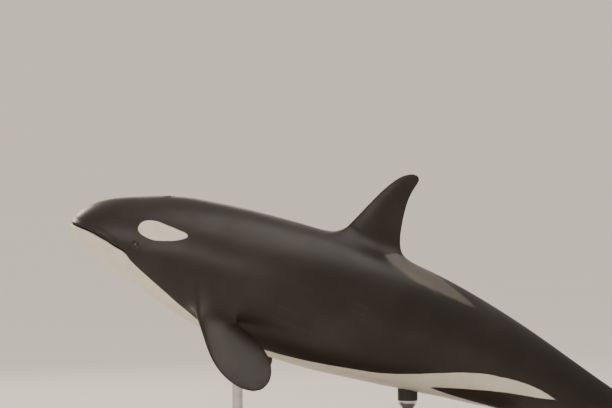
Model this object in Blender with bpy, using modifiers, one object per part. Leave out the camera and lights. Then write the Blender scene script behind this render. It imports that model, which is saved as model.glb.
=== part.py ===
# Orca, an adult female, life size, as a still model on a plain display stand.
# Metres, +Z up, head towards -X, left side towards -Y, origin under the middle of the stand.
# The body is one coarse cage: rings along a straight spine, with the fins and flukes grown
# out of its faces. It is subdivided, bent along its spine, and then parted into nodes by planes.

import math

import bmesh
import bpy
import numpy as np
from mathutils import Matrix, Vector
from mathutils.bvhtree import BVHTree

# Driving sizes, in metres
BODY_LENGTH = 5.8            # snout tip to fluke notch
GAP = 0.0003                 # left between two nodes that touch
SNOUT_X = -2.27              # puts the animal's weight over the middle of the stand
SNOUT_HEIGHT = 2.165         # keeps the lowest point of the flukes clear of the floor
WELD = 0.00002               # points closer than this are one

# The outlines below are shares of the body length, the first figure counted from the snout.
BACK_LINE = [(0, -0.012), (0.003, 0.0010), (0.01, 0.0135), (0.03, 0.0325), (0.06, 0.0485),
             (0.09, 0.0600), (0.125, 0.0722), (0.18, 0.0835), (0.26, 0.0920), (0.36, 0.0955),
             (0.5, 0.0895), (0.65, 0.0690), (0.8, 0.0405), (0.92, 0.0180), (1.0, 0.0045)]
BELLY_LINE = [(0, -0.012), (0.003, -0.0175), (0.01, -0.0285), (0.03, -0.0400), (0.07, -0.0535),
              (0.12, -0.0700), (0.2, -0.0925), (0.28, -0.1040), (0.36, -0.1060), (0.5, -0.0940),
              (0.65, -0.0670), (0.8, -0.0365), (0.92, -0.0160), (1.0, -0.0045)]
HALF_WIDTH = [(0, 0.0), (0.003, 0.0125), (0.01, 0.0225), (0.03, 0.0370), (0.07, 0.0540),
              (0.12, 0.0670), (0.2, 0.0810), (0.3, 0.0900), (0.38, 0.0910), (0.5, 0.0820),
              (0.62, 0.0620), (0.75, 0.0365), (0.86, 0.0200), (0.93, 0.0150), (1.0, 0.0140)]
WIDEST_LEVEL = [(0, -0.0125), (0.05, -0.0120), (0.1, -0.0085), (0.35, -0.0040), (0.6, 0.0),
                (1.0, 0.0)]
# How fast the section narrows towards its top and bottom: 1 is an ellipse, more is a keel
UPPER_KEEL = [(0, 0.92), (0.1, 1.0), (0.3, 0.95), (0.5, 1.05), (0.7, 1.3), (0.86, 1.5), (1.0, 1.1)]
LOWER_KEEL = [(0, 0.80), (0.1, 0.86), (0.3, 0.92), (0.5, 1.0), (0.7, 1.25), (0.86, 1.4), (1.0, 1.1)]
# Degrees that the spine slopes down towards the tail: the head and back are lifted to breathe
SPINE_STEPS = 400
SPINE_SLOPE = [(0, 18.5), (0.1, 18.5), (0.2, 19.5), (0.3, 18.0), (0.42, 18.0), (0.55, 21.5),
               (0.72, 25.0), (0.86, 22.0), (0.95, 13.0), (1.03, 8.0)]

# Rings of the cage, and the rows of each ring from the belly line up one side to the back line
STATIONS = [0.0008, 0.004, 0.012, 0.024, 0.040, 0.057, 0.072, 0.084, 0.098, 0.116, 0.136, 0.158,
            0.181, 0.203, 0.2195, 0.236, 0.2525, 0.269, 0.298, 0.332, 0.3615, 0.3895, 0.4175,
            0.4455, 0.4735, 0.515, 0.565, 0.620, 0.680, 0.740, 0.800, 0.845, 0.878, 0.902,
            0.916, 0.935, 0.954, 0.973, 0.991]
HALF_ROWS = 12
MOUTH_ROW = 6                # this row is the line of the mouth, and further back the widest level
MOUTH_LINE = [(0, -0.0125), (0.025, -0.0130), (0.055, -0.0172), (0.084, -0.0228), (0.16, -0.0160)]
MOUTH_CORNER = 0.084
MOUTH_FADE = (0.012, 0.006)  # the groove runs out over these, ahead of the corner and behind it
ROWS_SPREAD_BY = 0.181       # past the mouth the rows open out and are even from here on
TAIL_ROWS = (0.850, 0.916)   # between these the rows part round the roots of the flukes,
TAIL_SPREAD = 0.62           # where a row's share of a quarter turn is raised to this power
LIP_HEIGHT = 0.0030
LIP_FULL_BY = 0.020          # the lips are low at the snout and have their full height from here
LIP_SWELL = 0.0012
MOUTH_DEPTH = 0.0045
MOUTH_FULL_WIDTH = 0.020     # half width of the snout where the groove has its full depth

JAW_END = 0.098              # stations where the body is parted
NECK = 0.170
WAIST = 0.340
HIP = 0.610
FLUKE_ROOT = 0.895
DORSAL_CUT = (0.418, 0.0055)     # station, and height of the cut above the back there
DORSAL_CUT_REACH = 0.03          # the cut follows the back's slope over this much each way
PECTORAL_CUT = 0.0085            # distance of the cut outside the flank

# Blades: a section has these shares of the chord down each side, with these shares of its
# half thickness, and one vertex more at each edge
CHORD_SHARES = [0.03, 0.25, 0.52, 0.80, 0.985]
THICKNESS_SHARES = [0.46, 0.96, 0.97, 0.58, 0.20]
EDGE_SHARES = (-0.012, 1.010)

# Dorsal fin: height above the spine, then its leading edge, trailing edge and half thickness
DORSAL_FACES = (0.3615, 0.4735)
DORSAL_LEVELS = [0.1045, 0.118, 0.136, 0.156, 0.175, 0.192, 0.2030, 0.2085, 0.2115]
DORSAL_LEAD = [(0.100, 0.3770), (0.119, 0.3865), (0.139, 0.3965), (0.174, 0.4137), (0.190, 0.4235),
               (0.200, 0.4312), (0.2065, 0.4380), (0.2120, 0.4485)]
DORSAL_TRAIL = [(0.100, 0.4660), (0.1085, 0.4615), (0.124, 0.4578), (0.148, 0.4543), (0.172, 0.4528),
                (0.184, 0.4532), (0.194, 0.4562), (0.2025, 0.4590), (0.2085, 0.4583), (0.2120, 0.4540)]
DORSAL_THICKNESS = [(0.100, 0.0098), (0.122, 0.0068), (0.147, 0.0052), (0.175, 0.0038),
                    (0.199, 0.0024), (0.2120, 0.0009)]

# Pectoral fin: distance along its span, then the same three
PECTORAL_FACES = (0.203, 0.269)
PECTORAL_ROWS = (3, 5)
PECTORAL_ROOT = (0.2360, 0.0640, -0.0620)
PECTORAL_SWEEP = 36.0
PECTORAL_DROOP = 42.0
PECTORAL_LEVELS = [0.020, 0.038, 0.062, 0.090, 0.118, 0.138, 0.1490, 0.1542]
PECTORAL_LEAD = [(0.0, -0.0310), (0.03, -0.0315), (0.06, -0.0365), (0.09, -0.0395), (0.12, -0.0355),
                 (0.138, -0.0260), (0.149, -0.0150), (0.1545, -0.0030)]
PECTORAL_TRAIL = [(0.0, 0.0205), (0.02, 0.0235), (0.038, 0.0300), (0.06, 0.0390), (0.09, 0.0460),
                  (0.118, 0.0425), (0.138, 0.0320), (0.149, 0.0205), (0.1545, 0.0090)]
PECTORAL_THICKNESS = [(0.0, 0.0120), (0.03, 0.0090), (0.06, 0.0070), (0.1, 0.0048), (0.13, 0.0032),
                      (0.153, 0.0012)]
CHORD_TURN_BY = 0.05         # the root's chord lies along the body, and squares up by here

# Flukes: distance from the middle, then the same three
FLUKE_FACES = (0.916, 0.991)
FLUKE_ROWS = (5, 7)
FLUKE_LEVELS = [0.021, 0.036, 0.056, 0.078, 0.100, 0.118, 0.129, 0.1350]
FLUKE_LEAD = [(0.0, 0.9080), (0.021, 0.9215), (0.036, 0.9330), (0.056, 0.9485), (0.08, 0.9680),
              (0.105, 0.9905), (0.122, 1.0085), (0.1355, 1.0270)]
FLUKE_TRAIL = [(0.0, 0.9965), (0.021, 1.0050), (0.036, 1.0085), (0.056, 1.0105), (0.08, 1.0135),
               (0.105, 1.0185), (0.122, 1.0245), (0.1355, 1.0320)]
FLUKE_THICKNESS = [(0.0, 0.0105), (0.021, 0.0090), (0.036, 0.0076), (0.056, 0.0061), (0.08, 0.0046),
                   (0.105, 0.0032), (0.122, 0.0021), (0.1355, 0.0010)]
FLUKE_DROOP = 0.05           # the tips hang this share of their distance lower

# Eye, lids and blowhole, in metres but for their places
EYE_PLACE = (0.0985, -0.0085)
EYE_RADIUS = 0.031
EYE_INSET = 0.0235           # centre of the eyeball under the skin
LID_OPENING = (0.046, 0.031)
LID_THICKNESS = 0.010
LID_INSET = 0.003            # middle of the rim under the skin
EYE_SIDES = 16
LID_SIDES = 24
LID_ROLL_SIDES = 6
BLOWHOLE_STATION = 0.116
BLOWHOLE_RADIUS = 0.062
BLOWHOLE_ARC = 75.0          # degrees to each side of the midline
BLOWHOLE_GROOVE = 0.010
BLOWHOLE_POINTS = 15
JAW_BLOCK_REACH = 0.12       # the block that parts the jaw reaches this far past it
JAW_BLOCK_START = -0.02
JAW_BLOCK_POINTS = 18

# Stand
BASE_SIZE = (2.70, 1.30, 0.06)
BASE_CORNER = 0.30
BASE_CORNER_STEPS = 10
BASE_EDGE = 0.008
BASE_EDGE_STEPS = 3
ROD_RADIUS = 0.045
ROD_STATIONS = {"front": 0.285, "rear": 0.545}
ROD_FLANGE = (0.11, 0.025)
ROD_SADDLE = (0.080, 0.16)       # radius, and how far below the belly its flare starts
ROD_FLARE = 0.07                 # height of the flare from the rod to the saddle
ROD_SINK = 0.10                  # the saddle is drawn this far into the belly, then cut to it
ROD_FILLET = 0.012
ROD_CHAMFER = 0.006
ROD_SIDES = 24
SMOOTH_BELOW = math.radians(38)  # edges that turn less than this are shaded smooth

SKIN_BLACK = ("skin_black", (0.016, 0.016, 0.018), 0.32, 0.0)
SKIN_WHITE = ("skin_white", (0.78, 0.74, 0.67), 0.38, 0.0)
EYE_DARK = ("eye_dark", (0.012, 0.008, 0.006), 0.08, 0.0)
STEEL = ("brushed_steel", (0.52, 0.53, 0.54), 0.34, 1.0)
PLINTH = ("plinth_paint", (0.11, 0.10, 0.09), 0.45, 0.0)


def smooth_line(points, root=False):
    """A smooth curve through the points that never overshoots them. With root, the first
    figures are taken as their square roots, which rounds the curve off at the snout."""
    table = np.array(points, float)
    place = np.sqrt(table[:, 0]) if root else table[:, 0]
    value = table[:, 1]
    step = np.diff(place)
    rise = np.diff(value) / step
    slope = np.concatenate([rise[:1], np.zeros(len(rise) - 1), rise[-1:]])
    for i in range(1, len(rise)):
        if rise[i - 1] * rise[i] > 0:
            before = 2 * step[i] + step[i - 1]
            after = step[i] + 2 * step[i - 1]
            slope[i] = (before + after) / (before / rise[i - 1] + after / rise[i])

    def at(x):
        x = min(max(math.sqrt(x) if root else x, place[0]), place[-1])
        i = min(int(np.searchsorted(place, x, side="right")) - 1, len(step) - 1)
        t = (x - place[i]) / step[i]
        return float(
            value[i] * (2 * t**3 - 3 * t**2 + 1)
            + slope[i] * step[i] * (t**3 - 2 * t**2 + t)
            + value[i + 1] * (3 * t**2 - 2 * t**3)
            + slope[i + 1] * step[i] * (t**3 - t**2)
        )

    return at


back_line = smooth_line(BACK_LINE, root=True)
belly_line = smooth_line(BELLY_LINE, root=True)
half_width = smooth_line(HALF_WIDTH, root=True)
widest_level = smooth_line(WIDEST_LEVEL)
upper_keel = smooth_line(UPPER_KEEL)
lower_keel = smooth_line(LOWER_KEEL)
mouth_line = smooth_line(MOUTH_LINE)


def fade(x, start, end):
    t = min(max((x - start) / (end - start), 0.0), 1.0)
    return t * t * (3 - 2 * t)


def section(s, angle):
    """Half width and height of the skin at a station, at an angle from the widest level."""
    level = widest_level(s)
    reach = back_line(s) - level if angle > 0 else level - belly_line(s)
    keel = upper_keel(s) if angle > 0 else lower_keel(s)
    return half_width(s) * max(math.cos(angle), 0.0) ** keel, level + reach * math.sin(angle)


def angle_at(s, height):
    level = widest_level(s)
    reach = back_line(s) - level if height > level else level - belly_line(s)
    return math.asin(min(max((height - level) / reach, -1.0), 1.0))


def row_angles(s):
    """Angles of the rows at a station. Along the mouth three rows keep to its line and lips."""
    even = np.linspace(-1, 1, HALF_ROWS + 1)
    spread = 1 - (1 - TAIL_SPREAD) * fade(s, *TAIL_ROWS)
    even = np.sign(even) * np.abs(even) ** spread * math.pi / 2
    mouth = mouth_line(s)
    lip = LIP_HEIGHT * min(1.0, 0.25 + s / LIP_FULL_BY)
    low, middle, high = (angle_at(s, mouth + d) for d in (-lip, 0.0, lip))
    along_mouth = np.concatenate([
        np.linspace(-math.pi / 2, low, MOUTH_ROW),
        [middle],
        np.linspace(high, math.pi / 2, HALF_ROWS - MOUTH_ROW),
    ])
    share = fade(s, MOUTH_CORNER, ROWS_SPREAD_BY)
    return along_mouth * (1 - share) + even * share


def ring(s):
    """One side of a ring, as (station, half width, height), belly line first."""
    closing = 1 - fade(s, MOUTH_CORNER - MOUTH_FADE[0], MOUTH_CORNER + MOUTH_FADE[1])
    small = min(1.0, half_width(s) / MOUTH_FULL_WIDTH)
    points = []
    for row, angle in enumerate(row_angles(s)):
        side, height = section(s, angle)
        if row == MOUTH_ROW:
            side -= MOUTH_DEPTH * closing * small
        elif abs(row - MOUTH_ROW) == 1:
            side += LIP_SWELL * closing * small
        points.append((s, max(side, 0.0), height))
    return points


def blade_ring(lead, trail, thickness, put):
    """The loop of a blade's section, in the order that grow_blade joins it in."""
    chord = trail - lead
    loop = [put(lead + EDGE_SHARES[0] * chord, 0.0)]
    sides = [(lead + c * chord, t * thickness) for c, t in zip(CHORD_SHARES, THICKNESS_SHARES)]
    loop += [put(along, -across) for along, across in sides]
    loop.append(put(lead + EDGE_SHARES[1] * chord, 0.0))
    loop += [put(along, across) for along, across in reversed(sides)]
    return loop


def dorsal_rings():
    lead, trail, thickness = map(smooth_line, (DORSAL_LEAD, DORSAL_TRAIL, DORSAL_THICKNESS))
    return [
        blade_ring(lead(z), trail(z), thickness(z), lambda along, across, z=z: (along, across, z))
        for z in DORSAL_LEVELS
    ]


def pectoral_rings(side):
    lead, trail, thickness = map(smooth_line, (PECTORAL_LEAD, PECTORAL_TRAIL, PECTORAL_THICKNESS))
    sweep, droop = math.radians(PECTORAL_SWEEP), math.radians(PECTORAL_DROOP)
    flat, down = math.cos(droop), math.sin(droop)
    out = Vector((math.sin(sweep), math.cos(sweep) * flat, -math.cos(sweep) * down))
    squared = Vector((math.cos(sweep), -math.sin(sweep) * flat, math.sin(sweep) * down))
    rings = []
    for t in PECTORAL_LEVELS:
        back = Vector((1, 0, 0)).lerp(squared, fade(t, 0.0, CHORD_TURN_BY)).normalized()
        up = back.cross(out).normalized()
        middle = Vector(PECTORAL_ROOT) + out * t

        def put(along, across, middle=middle, back=back, up=up):
            point = middle + back * along + up * across
            return (point.x, side * point.y, point.z)

        rings.append(blade_ring(lead(t), trail(t), thickness(t), put))
    return rings


def fluke_rings(side):
    lead, trail, thickness = map(smooth_line, (FLUKE_LEAD, FLUKE_TRAIL, FLUKE_THICKNESS))

    def level(y):
        def put(along, across):
            return (along, side * y, across - FLUKE_DROOP * y)

        return blade_ring(lead(y), trail(y), thickness(y), put)

    return [level(y) for y in FLUKE_LEVELS]


def cage():
    """The whole animal along a straight spine, as one closed mesh of large faces."""
    mesh = bmesh.new()
    grid = {}
    for i, station in enumerate(STATIONS):
        for row, (s, side, height) in enumerate(ring(station)):
            if row in (0, HALF_ROWS):
                vert = mesh.verts.new((s, 0.0, height))
                grid[i, row, -1] = grid[i, row, 1] = vert
            else:
                for sign in (-1, 1):
                    grid[i, row, sign] = mesh.verts.new((s, sign * side, height))

    open_faces = set()

    def block(stations, low, high, signs):
        first, last = (STATIONS.index(s) for s in stations)
        for i in range(first, last):
            open_faces.update((i, row, sign) for row in range(low, high) for sign in signs)
        return first, last

    def fin_on_flank(stations, rows, sign, rings):
        low, high = rows
        first, last = block(stations, low, high, (sign,))
        middle = (low + high) // 2
        lower = [grid[i, low, sign] for i in range(first, last + 1)]
        upper = [grid[i, high, sign] for i in range(last, first - 1, -1)]
        grow_blade(mesh, [grid[first, middle, sign], *lower, grid[last, middle, sign], *upper], rings)

    first, last = block(DORSAL_FACES, HALF_ROWS - 1, HALF_ROWS, (-1, 1))
    row = HALF_ROWS - 1
    left = [grid[i, row, -1] for i in range(first, last + 1)]
    right = [grid[i, row, 1] for i in range(last, first - 1, -1)]
    base = [grid[first, row + 1, 1], *left, grid[last, row + 1, 1], *right]
    grow_blade(mesh, base, dorsal_rings())
    for sign in (-1, 1):
        fin_on_flank(PECTORAL_FACES, PECTORAL_ROWS, sign, pectoral_rings(sign))
        fin_on_flank(FLUKE_FACES, FLUKE_ROWS, sign, fluke_rings(sign))

    for i in range(len(STATIONS) - 1):
        for row in range(HALF_ROWS):
            for sign in (-1, 1):
                if (i, row, sign) not in open_faces:
                    mesh.faces.new([
                        grid[i, row, sign], grid[i + 1, row, sign],
                        grid[i + 1, row + 1, sign], grid[i, row + 1, sign],
                    ])
    for i in (0, len(STATIONS) - 1):
        up = [grid[i, row, -1] for row in range(HALF_ROWS)]
        down = [grid[i, row, 1] for row in range(HALF_ROWS, 0, -1)]
        mesh.faces.new(up + down)
    loose = [v for v in mesh.verts if not v.link_faces]
    bmesh.ops.delete(mesh, geom=loose, context="VERTS")
    bmesh.ops.recalc_face_normals(mesh, faces=mesh.faces)
    return mesh


def grow_blade(mesh, base, rings):
    """Joins ring after ring to the loop of vertices that the blade grows from, and closes its tip."""
    loop = base
    count = len(base)
    for points in rings:
        outer = [mesh.verts.new(point) for point in points]
        for i in range(count):
            j = (i + 1) % count
            mesh.faces.new([loop[i], loop[j], outer[j], outer[i]])
        loop = outer
    half = count // 2
    mesh.faces.new([loop[0], loop[1], loop[-1]])
    for i in range(1, half - 1):
        mesh.faces.new([loop[i], loop[i + 1], loop[count - i - 1], loop[count - i]])
    mesh.faces.new([loop[half - 1], loop[half], loop[half + 1]])


def spine_path():
    """Places and slopes along the bent spine, from the snout to past the notch."""
    slope = smooth_line(SPINE_SLOPE)
    end = SPINE_SLOPE[-1][0]
    stations = np.linspace(0.0, end, SPINE_STEPS + 1)
    slopes = np.radians([slope(s) for s in stations])
    middle = (slopes[1:] + slopes[:-1]) / 2
    run = BODY_LENGTH * end / SPINE_STEPS
    x = SNOUT_X + np.concatenate([[0.0], np.cumsum(np.cos(middle) * run)])
    z = SNOUT_HEIGHT - np.concatenate([[0.0], np.cumsum(np.sin(middle) * run)])
    return stations, x, z, slopes


SPINE = spine_path()


def spine_at(s):
    """A place on the bent spine, the way along it to the tail, and the way up out of the back."""
    stations, x, z, slopes = SPINE
    slope = float(np.interp(s, stations, slopes))
    past = max(s - stations[-1], 0.0) * BODY_LENGTH
    place = Vector((float(np.interp(s, stations, x)), 0.0, float(np.interp(s, stations, z))))
    along = Vector((math.cos(slope), 0.0, -math.sin(slope)))
    up = Vector((math.sin(slope), 0.0, math.cos(slope)))
    return place + along * past, along, up


def bent(s, side, height):
    """Where a point of the straight animal lies, with its spine bent."""
    place, along, up = spine_at(s)
    return place + Vector((0.0, side * BODY_LENGTH, 0.0)) + up * (height * BODY_LENGTH)


def skin_frame(s, angle, side):
    """The point of the flank at a station and angle, the way out of the skin, and the way back."""
    step = 0.004

    def point(station, turn):
        across, height = section(station, turn)
        return bent(station, side * across, height)

    back = point(s + step, angle) - point(s - step, angle)
    rise = point(s, angle + step) - point(s, angle - step)
    out = back.cross(rise).normalized() * -side
    return point(s, angle), out, back.normalized()


def capped(mesh):
    """Closes the holes that a cut has left, and clears what the cut has made too small."""
    bmesh.ops.remove_doubles(mesh, verts=mesh.verts, dist=WELD)
    bmesh.ops.dissolve_degenerate(mesh, edges=mesh.edges, dist=WELD)
    rims = [e for e in mesh.edges if e.is_boundary]
    bmesh.ops.holes_fill(mesh, edges=rims, sides=0)
    bmesh.ops.recalc_face_normals(mesh, faces=mesh.faces)
    return mesh


def cut_plane(mesh, point, normal):
    every = list(mesh.verts) + list(mesh.edges) + list(mesh.faces)
    bmesh.ops.bisect_plane(mesh, geom=every, dist=WELD / 20, plane_co=point, plane_no=normal)


def below(mesh, point, normal):
    """What lies under a plane, closed, with half the gap left to the plane."""
    part = mesh.copy()
    level = point - normal * (GAP / 2)
    cut_plane(part, level, normal)
    gone = [f for f in part.faces if (f.calc_center_median() - level).dot(normal) > 0]
    bmesh.ops.delete(part, geom=gone, context="FACES")
    return capped(part)


def parted(mesh, point, normal):
    """Takes off the fin that reaches furthest past a plane: what is left, and the fin."""
    halves = []
    for side, keep_fin in ((-1, False), (1, True)):
        part = mesh.copy()
        level = point + normal * (side * GAP / 2)
        cut_plane(part, level, normal)
        tip = max(part.verts, key=lambda v: v.co.dot(normal))
        outer = {f for f in part.faces if (f.calc_center_median() - level).dot(normal) > 0}
        fin = set(tip.link_faces) & outer
        edge = list(fin)
        while edge:
            near = {g for e in edge.pop().edges for g in e.link_faces}
            fresh = (near & outer) - fin
            fin |= fresh
            edge += fresh
        gone = [f for f in part.faces if (f in fin) != keep_fin]
        bmesh.ops.delete(part, geom=gone, context="FACES")
        halves.append(capped(part))
    return halves


def material(name, colour, roughness, metallic):
    made = bpy.data.materials.new(name)
    made.use_nodes = True
    shader = made.node_tree.nodes["Principled BSDF"]
    shader.inputs["Base Color"].default_value = (*colour, 1.0)
    shader.inputs["Roughness"].default_value = roughness
    shader.inputs["Metallic"].default_value = metallic
    made.diffuse_color = (*colour, 1.0)
    return made


def place_object(name, data, finish, home):
    """An object of the given mesh, with a material of its own."""
    made = bpy.data.objects.new(name, data)
    label, colour, roughness, metallic = finish
    data.materials.clear()
    data.materials.append(material(f"{name}_{label}", colour, roughness, metallic))
    home.objects.link(made)
    return made


def add_part(name, mesh, finish, home):
    """Turns an edited mesh into an object, in triangles, alike on both faces of a fin."""
    bmesh.ops.triangulate(mesh, faces=mesh.faces, quad_method="SHORT_EDGE", ngon_method="BEAUTY")
    data = bpy.data.meshes.new(name)
    mesh.to_mesh(data)
    mesh.free()
    data.shade_smooth()
    data.set_sharp_from_angle(angle=SMOOTH_BELOW)
    return place_object(name, data, finish, home)


def mesh_of(item):
    """The mesh of an object as its modifiers leave it, placed in the world and welded."""
    bpy.context.view_layer.update()
    evaluated = item.evaluated_get(bpy.context.evaluated_depsgraph_get())
    data = bpy.data.meshes.new_from_object(evaluated)
    data.transform(item.matrix_world)
    edit = bmesh.new()
    edit.from_mesh(data)
    bpy.data.meshes.remove(data)
    bmesh.ops.remove_doubles(edit, verts=edit.verts, dist=WELD / 20)
    return edit


def combine(item, tools, operation):
    """Joins or cuts an object with others, and keeps only its largest closed surface."""
    for tool in tools:
        step = item.modifiers.new(operation.lower(), "BOOLEAN")
        step.operation = operation
        step.object = tool
        step.solver = "EXACT"
    edit = mesh_of(item)
    item.modifiers.clear()
    bmesh.ops.dissolve_degenerate(edit, edges=edit.edges, dist=WELD / 2)
    left = set(edit.faces)
    shells = []
    while left:
        shell = {left.pop()}
        edge = list(shell)
        while edge:
            near = {g for e in edge.pop().edges for g in e.link_faces}
            fresh = near & left
            left -= fresh
            shell |= fresh
            edge += fresh
        shells.append(shell)
    largest = max(shells, key=len)
    bmesh.ops.delete(edit, geom=[f for f in edit.faces if f not in largest], context="FACES")
    bmesh.ops.triangulate(edit, faces=edit.faces)
    edit.to_mesh(item.data)
    edit.free()


def whole_animal(home):
    """The subdivided cage, bent along the spine."""
    source = cage()
    data = bpy.data.meshes.new("animal_cage")
    source.to_mesh(data)
    source.free()
    guide = bpy.data.objects.new("animal_cage", data)
    home.objects.link(guide)
    finer = guide.modifiers.new("smooth", "SUBSURF")
    finer.levels = finer.render_levels = 1
    finer.boundary_smooth = "ALL"
    edit = mesh_of(guide)
    bpy.data.objects.remove(guide)
    for vert in edit.verts:
        vert.co = bent(*vert.co)
    return edit


def eye_frame(side, surface):
    """Where the eye looks out of the skin, the way out, and the way back along the flank."""
    s, height = EYE_PLACE
    drawn, out, back = skin_frame(s, angle_at(s, height), side)
    skin = surface.find_nearest(drawn)[0]
    return skin, out, back


def add_ball(name, centre, radius, home):
    edit = bmesh.new()
    bmesh.ops.create_uvsphere(edit, u_segments=EYE_SIDES, v_segments=EYE_SIDES // 2 + 2, radius=radius)
    bmesh.ops.translate(edit, verts=edit.verts, vec=centre)
    return add_part(name, edit, EYE_DARK, home)


def add_lids(side, surface, home):
    """A swollen rim round the eye, longer than it is tall, that the eyeball shows through."""
    skin, out, back = eye_frame(side, surface)
    up = out.cross(back).normalized()
    long, tall = (o / 2 + LID_THICKNESS for o in LID_OPENING)
    bpy.ops.mesh.primitive_torus_add(
        major_radius=1.0, minor_radius=LID_THICKNESS / tall,
        major_segments=LID_SIDES, minor_segments=LID_ROLL_SIDES,
    )
    rim = bpy.context.object
    rim.name = "lids_" + ("left" if side < 0 else "right")
    turn = Matrix((back * long, up * tall, out * tall)).transposed().to_4x4()
    rim.data.transform(Matrix.Translation(skin - out * LID_INSET) @ turn)
    if turn.determinant() < 0:
        rim.data.flip_normals()
    to_cutters(rim, home)
    return rim


def to_cutters(item, home):
    for other in list(item.users_collection):
        other.objects.unlink(item)
    home.objects.link(item)
    item.hide_render = True
    item.display_type = "WIRE"


def blowhole_groove(surface, home):
    """A crescent tube sunk in the crown, its horns towards the snout."""
    path = bpy.data.curves.new("blowhole_groove", "CURVE")
    path.dimensions = "3D"
    path.bevel_depth = BLOWHOLE_GROOVE / 2
    path.bevel_resolution = 2
    path.use_fill_caps = True
    line = path.splines.new("POLY")
    line.points.add(BLOWHOLE_POINTS - 1)
    for i in range(BLOWHOLE_POINTS):
        turn = math.radians(BLOWHOLE_ARC) * (2 * i / (BLOWHOLE_POINTS - 1) - 1)
        side = BLOWHOLE_RADIUS * math.sin(turn) / BODY_LENGTH
        s = BLOWHOLE_STATION + BLOWHOLE_RADIUS * math.cos(turn) / BODY_LENGTH
        point = surface.find_nearest(bent(s, side, back_line(s)))[0]
        line.points[i].co = (*point, 1.0)
    tube = bpy.data.objects.new("blowhole_groove", path)
    home.objects.link(tube)
    edit = mesh_of(tube)
    bpy.data.objects.remove(tube)
    bmesh.ops.recalc_face_normals(edit, faces=edit.faces)
    data = bpy.data.meshes.new("blowhole_groove")
    edit.to_mesh(data)
    edit.free()
    cutter = bpy.data.objects.new("blowhole_groove", data)
    to_cutters(cutter, home)
    return cutter


def jaw_block(name, offset, home):
    """A block below the line of the mouth and ahead of the throat, wider than the head."""
    reach = JAW_BLOCK_REACH * BODY_LENGTH
    stations = [JAW_BLOCK_START, *np.linspace(0.0, JAW_END, JAW_BLOCK_POINTS)]
    edge = [bent(s, 0.0, mouth_line(max(s, 0.0))) + spine_at(s)[2] * offset for s in stations]
    place, along, up = spine_at(JAW_END)
    edge[-1] += along * offset
    outline = [*edge, edge[-1] - up * reach, edge[0] - Vector((0, 0, reach))]
    edit = bmesh.new()
    face = edit.faces.new([edit.verts.new((p.x, -reach, p.z)) for p in outline])
    grown = bmesh.ops.extrude_face_region(edit, geom=[face])["geom"]
    moved = [v for v in grown if isinstance(v, bmesh.types.BMVert)]
    bmesh.ops.translate(edit, verts=moved, vec=(0, 2 * reach, 0))
    bmesh.ops.recalc_face_normals(edit, faces=edit.faces)
    data = bpy.data.meshes.new(name)
    edit.to_mesh(data)
    edit.free()
    block = bpy.data.objects.new(name, data)
    to_cutters(block, home)
    return block


def add_rod(name, station, belly, home):
    """A rod from the base up to the belly, with a foot flange and a saddle that fits the belly."""
    floor = BASE_SIZE[2] + GAP
    centre = bent(station, 0.0, belly_line(station))
    top = centre.z + ROD_SINK
    flange, flange_height = ROD_FLANGE
    saddle, saddle_depth = ROD_SADDLE
    foot = floor + flange_height
    flare = centre.z - saddle_depth
    profile = [
        (0.0, top), (saddle, top), (saddle, flare + ROD_FLARE), (ROD_RADIUS, flare),
        (ROD_RADIUS, foot + ROD_FILLET), (ROD_RADIUS + ROD_FILLET, foot),
        (flange - ROD_CHAMFER, foot), (flange, foot - ROD_CHAMFER), (flange, floor), (0.0, floor),
    ]
    edit = bmesh.new()
    points = [edit.verts.new((radius, 0.0, height)) for radius, height in profile]
    for a, b in zip(points, points[1:]):
        edit.edges.new((a, b))
    data = bpy.data.meshes.new(name)
    edit.to_mesh(data)
    edit.free()
    rod = place_object(name, data, STEEL, home)
    turned = rod.modifiers.new("turn", "SCREW")
    turned.steps = turned.render_steps = ROD_SIDES
    turned.use_merge_vertices = True
    turned.merge_threshold = WELD
    rod.location = (centre.x, 0.0, 0.0)
    edit = mesh_of(rod)
    rod.modifiers.clear()
    rod.location = (0.0, 0.0, 0.0)
    bmesh.ops.recalc_face_normals(edit, faces=edit.faces)
    edit.to_mesh(rod.data)
    edit.free()
    combine(rod, [belly], "DIFFERENCE")
    rod.data.shade_smooth()
    rod.data.set_sharp_from_angle(angle=SMOOTH_BELOW)


def add_base(home):
    height = BASE_SIZE[2]
    edit = bmesh.new()
    bmesh.ops.create_cube(edit, size=1.0)
    bmesh.ops.scale(edit, verts=edit.verts, vec=BASE_SIZE)
    bmesh.ops.translate(edit, verts=edit.verts, vec=(0, 0, height / 2))
    corners = [e for e in edit.edges if abs(e.verts[0].co.z - e.verts[1].co.z) > height / 2]
    bmesh.ops.bevel(
        edit, geom=corners, offset=BASE_CORNER, segments=BASE_CORNER_STEPS, profile=0.5, affect="EDGES"
    )
    lid = max(edit.faces, key=lambda f: f.calc_center_median().z)
    bmesh.ops.bevel(
        edit, geom=list(lid.edges), offset=BASE_EDGE, segments=BASE_EDGE_STEPS, profile=0.5,
        affect="EDGES",
    )
    add_part("stand_base", edit, PLINTH, home)


def build():
    for item in list(bpy.data.objects):
        bpy.data.objects.remove(item)
    scene = bpy.context.scene.collection
    home = bpy.data.collections.new("orca")
    cutters = bpy.data.collections.new("cutters")
    scene.children.link(home)
    scene.children.link(cutters)

    animal = whole_animal(cutters)
    surface = BVHTree.FromBMesh(animal)
    belly = swollen_copy(animal, cutters)
    rest = part_fins(animal, home)
    part_lengths(rest, home)
    part_jaw(surface, home, cutters)
    add_base(home)
    for name, station in ROD_STATIONS.items():
        add_rod("stand_rod_" + name, station, belly, home)


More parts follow.
